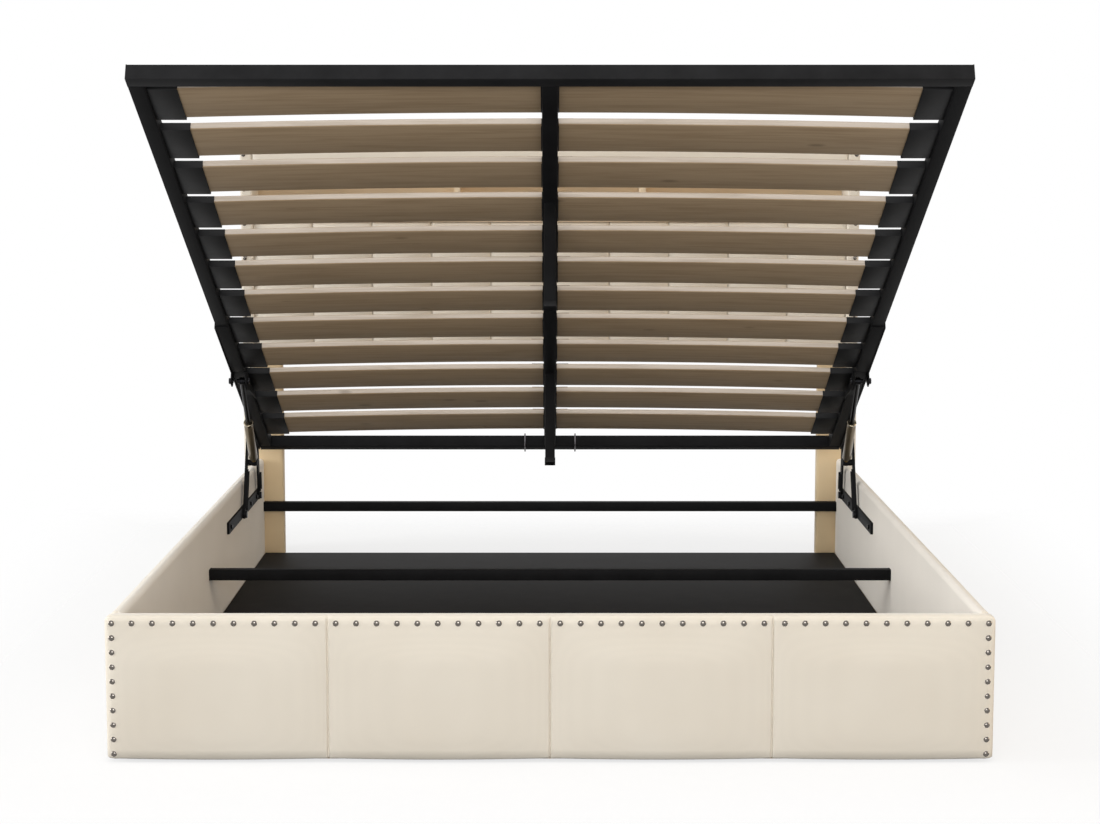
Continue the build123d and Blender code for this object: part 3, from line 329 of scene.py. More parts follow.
# The legs' upholstery, in the cream with painted shade.
leg_cream_painted_shade = upholstery("leg_upholstery", LEG_CREAM_PAINTED_SHADE, LEG_BLOTCH_PAINTED_SHADE)
lining_painted_light = upholstery("beige_lining", LINING_PAINTED_LIGHT, scaled(LINING_PAINTED_LIGHT, 0.94), sheen=0.2)
shelf_tan = upholstery("shelf_lining", SHELF_TAN, scaled(SHELF_TAN, 0.93), sheen=0.2)
backing_cloth = upholstery("backing_cloth", srgb(196, 187, 173), srgb(184, 174, 160), sheen=0.1)
steel_black = powder_coat("black_powder_coat", BLACK)
# The front tube's coat, lighter as painted sheen.
front_steel_painted_sheen = powder_coat("front_tube_coat", FRONT_BLACK_PAINTED_SHEEN)
black_plastic = plastic("black_plastic", BLACK)
# The slats' faces: birch darkened as painted shade.
veneer = birch("birch_veneer", BIRCH_PAINTED_SHADE, BIRCH_DARK_PAINTED_SHADE)
# The slats' long edges: a lighter birch, as painted light where the front edges catch the light.
veneer_edge_painted_light = birch("birch_edge", srgb(196, 184, 171), srgb(172, 158, 142))
plain_board = board("pressed_board", srgb(188, 160, 122), srgb(150, 122, 88))
base_board = powder_coat("dark_base_board", srgb(42, 41, 41), 0.6, 0.75)
dark_zinc = bare_metal("black_zinc", srgb(40, 40, 42), 0.3, 0.45)
polished = bare_metal("polished_nickel", srgb(112, 107, 102), 0.1, 0.2)
dark_wire = bare_metal("dark_wire", srgb(82, 80, 82), 0.2, 0.32)
nitrided = bare_metal("black_nitrided_rod", srgb(26, 26, 28), 0.34, 0.46, scratch=(1.0, 8.0, 8.0))
brass = bare_metal("yellow_zinc", srgb(150, 122, 74), 0.25, 0.4)
# Painted highlight: the cylinders' lip is a lighter metal than the enamel, for the lit ring on its top.
satin_lip = bare_metal("satin_lip", srgb(168, 156, 134), 0.2, 0.35)
cylinder_paint = enamel("cylinder_enamel", srgb(118, 106, 86))

SLOT_LOOKS = {
    "upholstery": cream,
    "shelf_lining": shelf_tan,
    "board": plain_board,
    "nail": polished,
    "base_board": base_board,
    "frame_steel": steel_black,
    "bolt_steel": dark_zinc,
    "black_plastic": black_plastic,
    "slat_wood": veneer,
    "strut_body": cylinder_paint,
    "strut_rod": nitrided,
}
NODE_LOOKS = {
    "platform_front_tube": front_steel_painted_sheen, "tube_hoops": dark_wire,
    "headboard_top_board": cream, "headboard_rear_panel": backing_cloth,
}
node_slot = {row["node"]: row["material_slot"] for row in frame["record"]["subparts"]}
node_body = {n: body for body, names in frame["record"]["behaviour"]["bodies"].items() for n in names}


def look_of(name):
    """The material of a node."""
    return NODE_LOOKS.get(name, SLOT_LOOKS[node_slot[name]])


for name, node in nodes.items():
    node.data.materials.clear()
    node.data.materials.append(look_of(name))


# Mesh helpers

SAME_POINT = 1e-6
NO_OFFSET = 1e-7
NO_LENGTH = 1e-9
FLAT_ANGLE = math.radians(0.5)
CREASE_ANGLE = math.radians(40)
SHARP_LIMIT = 35.0
ROUND_STEPS = 2
LONG_EDGE = 0.12
SHORT_EDGE = 0.004
GRID_DIGITS = 5
GRID_GAP = 0.0006


def piece(name, mesh, *materials, body, slot, replaces=()):
    """A new smooth piece of the bed from a mesh."""
    for material in materials:
        mesh.materials.append(material)
    mesh.polygons.foreach_set("use_smooth", [True] * len(mesh.polygons))
    thing = bpy.data.objects.new(name, mesh)
    scene.collection.objects.link(thing)
    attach(thing, body)
    if replaces:
        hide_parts(*replaces)
    return thing


def sharp(mesh, degrees_limit=SHARP_LIMIT):
    """Smooth faces with sharp edges where the surface turns by more than the limit."""
    mesh.set_sharp_from_angle(angle=math.radians(degrees_limit))


def finished(work, name):
    """The mesh of a shape that is done."""
    mesh = bpy.data.meshes.new(name)
    work.to_mesh(mesh)
    work.free()
    return mesh


def solid(name):
    """A node's solid as an editable shape with joined corners."""
    work = bmesh.new()
    work.from_mesh(nodes[name].data)
    bmesh.ops.remove_doubles(work, verts=work.verts, dist=SAME_POINT)
    return work


def rounded(name, long_width, short_width):
    """A copy of a node's solid with its outer edges rounded, which stands for the node."""
    work = solid(name)
    bmesh.ops.dissolve_limit(work, angle_limit=FLAT_ANGLE, verts=work.verts, edges=work.edges)
    for shortest, longest, width in (
        (LONG_EDGE, math.inf, long_width),
        (SHORT_EDGE, LONG_EDGE, short_width),
    ):
        edges = [
            e
            for e in work.edges
            if e.is_manifold and e.is_convex and e.calc_face_angle(0.0) > CREASE_ANGLE
            and shortest <= e.calc_length() < longest
        ]
        if edges:
            bmesh.ops.bevel(
                work, geom=edges, offset=width, segments=ROUND_STEPS, profile=0.5, affect="EDGES",
                clamp_overlap=True,
            )
    mesh = finished(work, name + "_shape")
    piece(
        name + "_piece", mesh, look_of(name), body=node_body[name], slot=node_slot[name],
        replaces=(name,),
    )
    sharp(mesh)


def islands(name, to_local=None):
    """The lowest and highest corner of each loose solid in a node, in the given axes."""
    work = solid(name)
    work.verts.ensure_lookup_table()
    seen, boxes = set(), []
    for start in work.verts:
        if start.index in seen:
            continue
        seen.add(start.index)
        stack, found = [start], []
        while stack:
            vert = stack.pop()
            found.append(to_local @ vert.co if to_local else vert.co.copy())
            for edge in vert.link_edges:
                other = edge.other_vert(vert)
                if other.index not in seen:
                    seen.add(other.index)
                    stack.append(other)
        points = np.array([tuple(p) for p in found])
        boxes.append((Vector(points.min(0)), Vector(points.max(0))))
    work.free()
    return boxes


def lines(low, high, cell, extra=(), spread=(0.0,)):
    """Grid lines from low to high about a cell apart, with more around the extra places."""
    count = max(1, round((high - low) / cell))
    places = {round(low + (high - low) * n / count, GRID_DIGITS) for n in range(count + 1)}
    for centre in extra:
        for step in spread:
            for way in (-1, 1):
                place = centre + way * step
                if low < place < high:
                    places = {p for p in places if abs(p - place) > GRID_GAP or p in (low, high)}
                    places.add(round(place, GRID_DIGITS))
    return sorted(places)


def with_edges(places, steps_from_low, steps_to_high):
    """Grid lines with more at the given distances from both ends."""
    near_low = {round(places[0] + step, GRID_DIGITS) for step in steps_from_low}
    near_high = {round(places[-1] - step, GRID_DIGITS) for step in steps_to_high}
    return sorted(set(places) | near_low | near_high)


def soft_box(low, high, radius, xs, ys, zs):
    """A closed grid over a box, with its edges rounded."""
    axes = [xs, ys, zs]
    work = bmesh.new()
    made = {}

    def corner(i, j, k):
        key = (i, j, k)
        if key not in made:
            made[key] = work.verts.new((xs[i], ys[j], zs[k]))
        return made[key]

    counts = [len(a) - 1 for a in axes]
    for axis in range(3):
        first, second = [a for a in range(3) if a != axis]
        for end in (0, counts[axis]):
            for a in range(counts[first]):
                for b in range(counts[second]):
                    ring = []
                    for da, db in ((0, 0), (1, 0), (1, 1), (0, 1)):
                        index = [0, 0, 0]
                        index[axis] = end
                        index[first] = a + da
                        index[second] = b + db
                        ring.append(corner(*index))
                    work.faces.new(ring)
    bmesh.ops.recalc_face_normals(work, faces=work.faces)
    inner_low = low + Vector((radius,) * 3)
    inner_high = high - Vector((radius,) * 3)
    for vert in work.verts:
        inside = Vector(
            min(max(c, lo), hi) if lo <= hi else (lo + hi) / 2
            for c, lo, hi in zip(vert.co, inner_low, inner_high)
        )
        away = vert.co - inside
        if away.length > NO_LENGTH and sum(abs(c) > NO_OFFSET for c in away) > 1:
            vert.co = inside + away.normalized() * max(abs(c) for c in away)
    return work


CLOTH = {
    "quality": 5,
    "mass": 0.2,
    "tension_stiffness": 15,
    "compression_stiffness": 15,
    "shear_stiffness": 5,
    "bending_stiffness": 0.4,
    "shrink_min": -0.005,
}
CLOTH_FRAMES = 20
EASE_STEPS = 8


def near(value, centre, width):
    """1 at the centre, falling smoothly to 0 at the width."""
    share = min(1.0, abs(value - centre) / width)
    return (1.0 - share * share) ** 2


def swell(thing, held, pressure, cap, front=None):
    """Cloth simulation: the free part of a padded cover swells and settles between held points.

    No point moves by more than the cap, and the moves are evened out over the neighbours. In
    front of the given depth points move only square to the panel, so that its seams stay straight.
    """
    group = thing.vertex_groups.new(name="held")
    for index, weight in enumerate(held):
        if weight > 0:
            group.add([index], weight, "REPLACE")
    start = np.empty(len(thing.data.vertices) * 3)
    thing.data.vertices.foreach_get("co", start)
    cloth = thing.modifiers.new("cloth", "CLOTH")
    settings = cloth.settings
    for name, value in CLOTH.items():
        setattr(settings, name, value)
    settings.use_pressure = True
    settings.uniform_pressure_force = pressure
    settings.vertex_group_mass = "held"
    settings.effector_weights.gravity = 0.0
    cloth.collision_settings.use_collision = False
    cloth.point_cache.frame_start = 1
    cloth.point_cache.frame_end = CLOTH_FRAMES
    for step in range(1, CLOTH_FRAMES + 1):
        scene.frame_set(step)
    evaluated = thing.evaluated_get(bpy.context.evaluated_depsgraph_get())
    end = np.empty_like(start)
    evaluated.data.vertices.foreach_get("co", end)
    move = (end - start).reshape(-1, 3)
    length = np.linalg.norm(move, axis=1)
    move *= np.minimum(1.0, cap / np.maximum(length, NO_LENGTH))[:, None]
    ends = np.empty(len(thing.data.edges) * 2, dtype=np.int64)
    thing.data.edges.foreach_get("vertices", ends)
    one, other = ends.reshape(-1, 2).T
    count = np.bincount(ends, minlength=len(move))[:, None]
    for step in range(EASE_STEPS):
        total = np.zeros_like(move)
        np.add.at(total, one, move[other])
        np.add.at(total, other, move[one])
        move = (move + total / count) / 2
    move *= 1.0 - np.array(held)[:, None]
    if front is not None:
        ahead = start.reshape(-1, 3)[:, 1] < front
        move[ahead, 0] = 0.0
        move[ahead, 2] = 0.0
    thing.modifiers.clear()
    thing.data.vertices.foreach_set("co", (start.reshape(-1, 3) + move).ravel())
    thing.data.update()
    scene.frame_set(1)


def reshape(thing, change):
    """Moves each vertex of a piece by a function of its place."""
    for vert in thing.data.vertices:
        vert.co = change(vert.co)
    thing.data.update()


# Padded covers

EDGE_SHARES = (0.15, 0.4, 0.75, 1.0)
END_HELD = 0.004
BOX_SWELL = 0.0012


def nail_places(node):
    """The middle of each nail of a node, as (x, z)."""
    return [((low.x + high.x) / 2, (low.z + high.z) / 2) for low, high in islands(node)]


def nail_gap(x, z, places):
    """The distance from a point to the nearest nail."""
    return min(math.hypot(x - nx, z - nz) for nx, nz in places)


def padded_cover(name, work, replaces, look, hold, pressure, cap, front=None):
    """A cover from a shape, which swells between the places where it is held."""
    mesh = finished(work, name)
    made = piece(name, mesh, look, body="bed_frame", slot="upholstery", replaces=replaces)
    swell(made, [hold(vert.co) for vert in mesh.vertices], pressure, cap, front)
    return made


def padded_box(name, low, high, radius, cells, pressure, hold, replaces=(), look=cream):
    """A padded cover over a board."""
    steps = [radius * share for share in EDGE_SHARES]
    grids = []
    for axis in range(3):
        inside = [step for step in steps if 2 * step < high[axis] - low[axis]]
        grids.append(with_edges(lines(low[axis], high[axis], cells[axis]), inside, inside))
    work = soft_box(low, high, radius, *grids)
    made = padded_cover(name, work, replaces, look, hold, pressure, BOX_SWELL)
    return made


# Footboard cover: four panels with a crown, seams between them and dents round the nails

FOOT_ROUND = 0.012
FOOT_CELL = 0.0095
FOOT_CELL_DEEP = 0.008
FOOT_EDGE_LINES = (0.002, 0.005, 0.009)
FOOT_BOTTOM_LINES = (0.003,)
FOOT_CROWN = 0.005
FOOT_CROWN_DEPTH = 0.02
FOOT_CROWN_FADE = 0.07
FOOT_CROWN_POWER = 24
FOOT_FREE_DEPTH = 0.016
FOOT_PRESSURE = 0.8
FOOT_SWELL = 0.0014
BOTTOM_ROUND = 0.005
BOTTOM_BOW = 0.0024
BOTTOM_BOW_HEIGHT = 0.06
SEAM_LINES = (0.0, 0.0008, 0.0016, 0.0026, 0.006)
SEAM_HELD = 0.016
SEAM_WIDTH = 0.0024
SEAM_DEPTH = 0.0052
SEAM_TOP_SHARE = 0.35
SEAM_TOP_FADE = 0.012
FOOT_NAIL_STRIP = 0.03
FOOT_NAIL_HELD = 0.012
FOOT_NAIL_REACH = 0.014
FOOT_NAIL_DENT = 0.0010
FOOT_NAIL_FLAT = 0.006

foot_width = foot_high.x - foot_low.x
foot_seams = [foot_low.x + foot_width * n / FOOT_PANELS for n in range(1, FOOT_PANELS)]
foot_nails = nail_places("footboard_nails")
foot_nail_line = max(z for x, z in foot_nails) - FOOT_NAIL_FLAT


def foot_panel_share(x):
    """0 at a panel's seams and 1 in its middle."""
    width = foot_width / FOOT_PANELS
    share = ((x - foot_low.x) % width) / width
    return 1.0 - (2.0 * share - 1.0) ** 2


def foot_nail_gap(x, z):
    """The distance to the nearest nail, for points in the strips that have nails."""
    if z > foot_high.z - FOOT_NAIL_STRIP or abs(x) > foot_high.x - FOOT_NAIL_STRIP:
        return nail_gap(x, z, foot_nails)
    return math.inf


def foot_setback(place):
    """How far the crowned front stands back at a point."""
    front = max(0.0, 1.0 - (place.y - foot_low.y) / FOOT_CROWN_DEPTH)
    up = (place.z - foot_low.z) / (foot_high.z - foot_low.z)
    crown = foot_panel_share(place.x) * (1.0 - abs(2.0 * up - 1.0) ** FOOT_CROWN_POWER)
    crown *= 1.0 - near(max(0.0, foot_nail_line - place.z), 0.0, FOOT_CROWN_FADE)
    return front * FOOT_CROWN * (1.0 - crown)


def foot_hold(place):
    """Held behind the front, along the lower edge, at the seams and round the nails."""
    if place.y > foot_low.y + FOOT_FREE_DEPTH or place.z < foot_low.z + END_HELD:
        return 1.0
    sewn = max(near(place.x, seam, SEAM_HELD) for seam in foot_seams)
    return max(sewn, near(foot_nail_gap(place.x, place.z), 0.0, FOOT_NAIL_HELD))


def foot_shape(place):
    """Sinks the seams and the nails' surroundings, and draws the lower edge tight and bowed."""
    x, y, z = place
    if z < foot_low.z + FOOT_ROUND and y < foot_low.y + FOOT_ROUND + FOOT_CROWN:
        z = foot_low.z + BOTTOM_ROUND + (z - foot_low.z - FOOT_ROUND) * BOTTOM_ROUND / FOOT_ROUND
    if y < foot_low.y + FOOT_CROWN_DEPTH:
        fade = min(1.0, max(0.0, (foot_high.z - z) / SEAM_TOP_FADE))
        seam = sum(near(x, seam, SEAM_WIDTH) for seam in foot_seams)
        y += seam * SEAM_DEPTH * (SEAM_TOP_SHARE + (1.0 - SEAM_TOP_SHARE) * fade)
        y += near(foot_nail_gap(x, z), 0.0, FOOT_NAIL_REACH) * FOOT_NAIL_DENT
    low_share = max(0.0, 1.0 - (z - foot_low.z) / BOTTOM_BOW_HEIGHT)
    return Vector((x, y, z + low_share * BOTTOM_BOW * (0.5 - foot_panel_share(x))))


def make_footboard():
    xs = lines(foot_low.x, foot_high.x, FOOT_CELL, foot_seams, SEAM_LINES)
    ys = lines(foot_low.y, foot_high.y, FOOT_CELL_DEEP)
    zs = lines(foot_low.z, foot_high.z, FOOT_CELL)
    work = soft_box(
        foot_low, foot_high, FOOT_ROUND,
        with_edges(xs, FOOT_EDGE_LINES, FOOT_EDGE_LINES),
        with_edges(ys, FOOT_EDGE_LINES, FOOT_EDGE_LINES),
        with_edges(zs, FOOT_BOTTOM_LINES, FOOT_EDGE_LINES),
    )
    for vert in work.verts:
        vert.co.y += foot_setback(vert.co)
    cover = padded_cover(
        "footboard_padding", work, ("footboard_cover",), cream, foot_hold, FOOT_PRESSURE, FOOT_SWELL,
        front=foot_low.y + FOOT_FREE_DEPTH,
    )
    reshape(cover, foot_shape)


make_footboard()


# Side rail covers: cream outside, and on the inner face and the inner part of the top a lining lighter than
# the cream, its extra brightness painted light

RAIL_ROUND = 0.011
RAIL_CELLS = (0.009, 0.02, 0.012)
RAIL_PRESSURE = 2.0
RAIL_INNER_HELD = 0.012
RAIL_END_HELD = 0.03
RAIL_DRAW = 0.0022
RAIL_DRAW_POWERS = (8, 6)
RAIL_WAVE = 0.0004
RAIL_WAVE_TURNS = (31, 23)
RAIL_LINING_PAINTED_LIGHT_DEPTH = 0.010

for side in ("left", "right"):
    low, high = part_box("rail_cover_" + side)
    inner_x = high.x if side == "left" else low.x
    outer_x = low.x if side == "left" else high.x

    def rail_hold(place, inner_x=inner_x, low=low, high=high):
        """Held on the board's inner face, underneath and at both ends."""
        if abs(place.x - inner_x) < RAIL_INNER_HELD or place.z < low.z + END_HELD:
            return 1.0
        return max(near(place.y, low.y, RAIL_END_HELD), near(place.y, high.y, RAIL_END_HELD))

    def rail_shape(place, inner_x=inner_x, outer_x=outer_x, low=low, high=high):
        """Draws the outer face in towards its ends, as a cover pulled over a board."""
        share = (place.x - inner_x) / (outer_x - inner_x)
        along = (place.y - low.y) / (high.y - low.y)
        up = (place.z - low.z) / (high.z - low.z)
        draw = RAIL_DRAW * sum(
            (2 * at - 1) ** power for at, power in zip((along, up), RAIL_DRAW_POWERS)
        )
        draw += RAIL_WAVE * math.sin(place.y * RAIL_WAVE_TURNS[0]) * math.sin(place.z * RAIL_WAVE_TURNS[1])
        inward = math.copysign(1.0, inner_x - outer_x)
        return place + Vector((inward * share * draw, 0, 0))

    rail = padded_box(
        "rail_padding_" + side, low, high, RAIL_ROUND, RAIL_CELLS, RAIL_PRESSURE, rail_hold,
        replaces=("rail_cover_" + side,),
    )
    reshape(rail, rail_shape)
    rail.data.materials.append(lining_painted_light)
    # Faces near the inner face take the lighter cloth with painted light.
    for face in rail.data.polygons:
        if abs(face.center.x - inner_x) < RAIL_LINING_PAINTED_LIGHT_DEPTH:
            face.material_index = 1


# Headboard: post, leg and top band covers

POST_ROUND = 0.006
POST_CELLS = (0.008, 0.012, 0.016)
POST_PRESSURE = 1.5
POST_BACK_HELD = 0.01
POST_CORNER_HELD = 0.006
POST_CORNER_DEPTH = 0.02
POST_NAIL_DEPTH = 0.01
HEAD_NAIL_HELD = 0.014
LEG_ROUND = 0.005
LEG_CELLS = (0.012, 0.009, 0.016)
LEG_PRESSURE = 1.5
LEG_BACK_HELD = 0.006
BAND_ROUND = 0.009
BAND_CELLS = (0.012, 0.008, 0.008)
BAND_PRESSURE = 2.0
BAND_CROWN = 0.004
BAND_FREE_DEPTH = 0.02
BAND_NAIL_REACH = 0.013
BAND_NAIL_DENT = 0.0015

head_nails = nail_places("headboard_nails")
band_nails = [(x, z) for x, z in head_nails if abs(x) < band_high.x and z > band_low.z]

for side in ("left", "right"):
    name = "headboard_post_cover_" + side
    low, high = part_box(name)

    def post_hold(place, low=low, high=high):
        """Held at the back, at both ends, along the corners and round the nails."""
        if place.y > high.y - POST_BACK_HELD or not low.z + END_HELD < place.z < high.z - END_HELD:
            return 1.0
        corner = max(near(place.x, x, POST_CORNER_HELD) for x in (low.x, high.x))
        corner *= near(place.y, low.y, POST_CORNER_DEPTH)
        if place.y < low.y + POST_NAIL_DEPTH:
            return max(corner, near(nail_gap(place.x, place.z, head_nails), 0.0, HEAD_NAIL_HELD))
        return corner

    padded_box(
        "headboard_post_padding_" + side, low, high, POST_ROUND, POST_CELLS, POST_PRESSURE, post_hold,
        replaces=(name,),
    )

leg_boxes = sorted(islands("headboard_legs"), key=lambda box: box[0].x)
for side, (low, high) in zip(("left", "right"), leg_boxes):

    def leg_hold(place, low=low, high=high):
        """Held at the back and at both ends."""
        inside = low.z + END_HELD < place.z < high.z - END_HELD
        return 0.0 if inside and place.y <= high.y - LEG_BACK_HELD else 1.0

    padded_box(
        "headboard_leg_padding_" + side, low, high, LEG_ROUND, LEG_CELLS, LEG_PRESSURE, leg_hold,
        replaces=("headboard_legs",) if side == "left" else (), look=leg_cream_painted_shade,
    )


def band_hold(place):
    """Held at the back, along the lower edge, at both ends and round the nails."""
    if place.y > band_low.y + BAND_FREE_DEPTH or place.z < band_low.z + END_HELD:
        return 1.0
    if abs(place.x) > band_high.x - END_HELD:
        return 1.0
    return near(nail_gap(place.x, place.z, band_nails), 0.0, HEAD_NAIL_HELD)


def band_shape(place):
    """Crowns the band's front and sinks it round the nails."""
    if place.y > band_low.y + BAND_FREE_DEPTH:
        return place
    up = (place.z - band_low.z) / (band_high.z - band_low.z)
    dent = near(nail_gap(place.x, place.z, band_nails), 0.0, BAND_NAIL_REACH) * BAND_NAIL_DENT
    return place + Vector((0, BAND_CROWN * (2 * up - 1) ** 2 + dent, 0))


band = padded_box(
    "headboard_band_padding", band_low, band_high, BAND_ROUND, BAND_CELLS, BAND_PRESSURE, band_hold,
    replaces=("headboard_top_band",),
)
reshape(band, band_shape)


# Headboard channels: ten upright rolls between stitched lines

CHANNEL_ROUND = 0.007
CHANNEL_CELL = 0.0105
CHANNEL_CELL_DEEP = 0.007
CHANNEL_END_LINES = (0.003,)
CHANNEL_CROWN = 0.012
CHANNEL_CROWN_DEPTH = 0.028
CHANNEL_END_POWER = 10
CHANNEL_FREE_DEPTH = 0.02
CHANNEL_PRESSURE = 2.0
CHANNEL_SWELL = 0.0025
STITCH_LINES = (0.0, 0.0015, 0.004, 0.008)
STITCH_HELD = 0.007
STITCH_WIDTH = 0.005
STITCH_DEPTH = 0.003

channel_width = (channel_high.x - channel_low.x) / CHANNELS
channel_seams = [channel_low.x + channel_width * n for n in range(1, CHANNELS)]


def channel_setback(place):
    """How far the rolled front stands back at a point."""
    front = max(0.0, 1.0 - (place.y - channel_low.y) / CHANNEL_CROWN_DEPTH)
    share = ((place.x - channel_low.x) % channel_width) / channel_width
    if min(abs(place.x - channel_low.x), abs(place.x - channel_high.x)) < SAME_POINT:
        share = 0.0
    up = (place.z - channel_low.z) / (channel_high.z - channel_low.z)
    crown = math.sqrt(max(0.0, 1.0 - (2 * share - 1) ** 2)) * (1.0 - (2 * up - 1) ** CHANNEL_END_POWER)
    return front * CHANNEL_CROWN * (1.0 - crown)


def channel_hold(place):
    """Held behind the front, at both ends and along the stitched lines."""
    from_end = min(place.z - channel_low.z, channel_high.z - place.z)
    if place.y > channel_low.y + CHANNEL_FREE_DEPTH or from_end < END_HELD:
        return 1.0
    return max(near(place.x, seam, STITCH_HELD) for seam in channel_seams)


def channel_shape(place):
    """Sinks the stitched lines."""
    if place.y >= channel_low.y + CHANNEL_FREE_DEPTH:
        return place
    dent = sum(near(place.x, seam, STITCH_WIDTH) for seam in channel_seams) * STITCH_DEPTH
    return place + Vector((0, dent, 0))


def make_channels():
    xs = lines(channel_low.x, channel_high.x, CHANNEL_CELL, channel_seams, STITCH_LINES)
    ys = lines(channel_low.y, channel_high.y, CHANNEL_CELL_DEEP)
    zs = lines(channel_low.z, channel_high.z, CHANNEL_CELL)
    work = soft_box(
        channel_low, channel_high, CHANNEL_ROUND,
        with_edges(xs, CHANNEL_END_LINES, CHANNEL_END_LINES),
        ys,
        with_edges(zs, CHANNEL_END_LINES, CHANNEL_END_LINES),
    )
    for vert in work.verts:
        vert.co.y += channel_setback(vert.co)
    cover = padded_cover(
        "headboard_channel_padding", work, ("headboard_channels",), cream, channel_hold,
        CHANNEL_PRESSURE, CHANNEL_SWELL, front=channel_low.y + CHANNEL_FREE_DEPTH,
    )
    reshape(cover, channel_shape)


make_channels()


# Nails with a rolled rim and a polished dome

NAIL_RADIUS = 0.0055
NAIL_SEAT = 0.0028
NAIL_TIP = 0.0032
NAIL_SIDES = 20
NAIL_PROFILE = (
    (1.0, 0.0), (1.0, 0.0009), (0.94, 0.0014), (0.86, 0.0018), (0.7, 0.0024), (0.45, 0.0029), (0.2, 0.0031),
)


def ring_turns(sides):
    """The angles of a ring's points."""
    return [2 * math.pi * n / sides for n in range(sides)]


def skin(work, rings, index=0):
    """Joins neighbouring rings of as many points with faces of one material."""
    for ring, following in zip(rings, rings[1:]):
        for n in range(len(ring)):
            m = (n + 1) % len(ring)
            work.faces.new((ring[n], ring[m], following[m], following[n])).material_index = index


def nails(name, node):
    """Nails facing the foot end, one on each nail of the node."""
    profile = [(NAIL_RADIUS * share, out) for share, out in NAIL_PROFILE]
    work = bmesh.new()
    for low, high in islands(node):
        x, y, z = (low.x + high.x) / 2, low.y + NAIL_SEAT, (low.z + high.z) / 2
        rings = [
            [
                work.verts.new((x + radius * math.cos(turn), y - out, z + radius * math.sin(turn)))
                for turn in ring_turns(NAIL_SIDES)
            ]
            for radius, out in profile
        ]
        skin(work, rings)
        tip = work.verts.new((x, y - NAIL_TIP, z))
        for n, vert in enumerate(rings[-1]):
            work.faces.new((vert, rings[-1][(n + 1) % NAIL_SIDES], tip))
    bmesh.ops.recalc_face_normals(work, faces=work.faces)
    piece(name, finished(work, name), polished, body="bed_frame", slot="nail", replaces=(node,))


nails("footboard_nail_heads", "footboard_nails")
nails("headboard_nail_heads", "headboard_nails")


# Slats: arched birch strips with rounded long edges

to_world = Matrix.Translation(OPEN_REAR) @ Matrix(
    (
        (1, 0, 0, 0),
        (0, math.cos(LIFT), math.sin(LIFT), 0),
        (0, -math.sin(LIFT), math.cos(LIFT), 0),
        (0, 0, 0, 1),
    )
)
to_platform = to_world.inverted()
SLAT_THICKNESS = 0.014
SLAT_ROUND = 0.0035
SLAT_STEPS = 24
SLAT_CREASE = 50.0
CORNER_TURNS = (0, 30, 60, 90)
# These faces of the section, the long sides and their roundings, take the birch with painted light; the
# others take the birch with painted shade.
SLAT_EDGE_FACES = (2, 3, 4, 10, 11, 12)


def slat_section(half_width):
    """Points round a slat's section as (across, up) from the middle of its underside."""
    points = []
    for across, up, start in (
        (half_width - SLAT_ROUND, SLAT_ROUND, -90),
        (half_width - SLAT_ROUND, SLAT_THICKNESS - SLAT_ROUND, 0),
        (-half_width + SLAT_ROUND, SLAT_THICKNESS - SLAT_ROUND, 90),
        (-half_width + SLAT_ROUND, SLAT_ROUND, 180),
    ):
        for turn in CORNER_TURNS:
            angle = math.radians(start + turn)
            points.append((across + SLAT_ROUND * math.cos(angle), up + SLAT_ROUND * math.sin(angle)))
    return points


def slats(side):
    """The half slats of one side, arched down towards their end caps."""
    name = "slats_" + side
    work = bmesh.new()
    for low, high in islands(name, to_platform):
        inner, outer = (low.x, high.x) if side == "right" else (high.x, low.x)
        rise = (high.z - low.z - SLAT_THICKNESS) / (1.0 - (inner / outer) ** 2)
        section = slat_section((high.y - low.y) / 2)
        middle = (low.y + high.y) / 2
        rings = []
        for n in range(SLAT_STEPS + 1):
            x = inner + (outer - inner) * n / SLAT_STEPS
            lift = low.z + rise * (1.0 - (x / outer) ** 2)
            rings.append([
                work.verts.new(to_world @ Vector((x, middle + across, lift + up))) for across, up in section
            ])
        count = len(section)
        for ring, following in zip(rings, rings[1:]):
            for n in range(count):
                m = (n + 1) % count
                face = work.faces.new((ring[n], ring[m], following[m], following[n]))
                face.material_index = 1 if n in SLAT_EDGE_FACES else 0
        for ring in (rings[0], rings[-1]):
            work.faces.new(ring).material_index = 1
    bmesh.ops.recalc_face_normals(work, faces=work.faces)
    mesh = finished(work, name)
    piece(
        "birch_" + name, mesh, veneer, veneer_edge_painted_light, body="platform", slot="slat_wood", replaces=(name,),
    )
    sharp(mesh, SLAT_CREASE)


for side in ("left", "right"):
    slats(side)


# Gas cylinders: a tube with a rolled lip and a groove over the seal, on a plated end fitting

CYLINDER_BODY = (
    (0.0200, 0.0), (0.0200, 0.0082), (0.0210, 0.0100), (0.0232, 0.0110), (0.1676, 0.0110),
    (0.1686, 0.0104), (0.1700, 0.0100), (0.1714, 0.0104), (0.1724, 0.0110), (0.1776, 0.0110),
)
CYLINDER_LIP = (
    (0.1776, 0.0110), (0.1782, 0.0115), (0.1796, 0.0117), (0.1808, 0.0114), (0.1814, 0.0106),
    (0.1814, 0.0064), (0.1806, 0.0061), (0.0240, 0.0061), (0.0240, 0.0),
)
END_FITTING = (
    (0.0060, 0.0), (0.0060, 0.0048), (0.0080, 0.0052), (0.0120, 0.0052), (0.0128, 0.0066), (0.0150, 0.0066),
    (0.0158, 0.0052), (0.0186, 0.0052), (0.0194, 0.0064), (0.0204, 0.0064), (0.0204, 0.0),
)
LATHE_SIDES = 28
LATHE_JOIN = 1e-5
EYE_SIDES = 32
EYE_BORE = 0.00505
EYE_RADIUS = 0.0090
EYE_HALF_WIDTH = 0.0050
EYE_ROUND = 0.0008


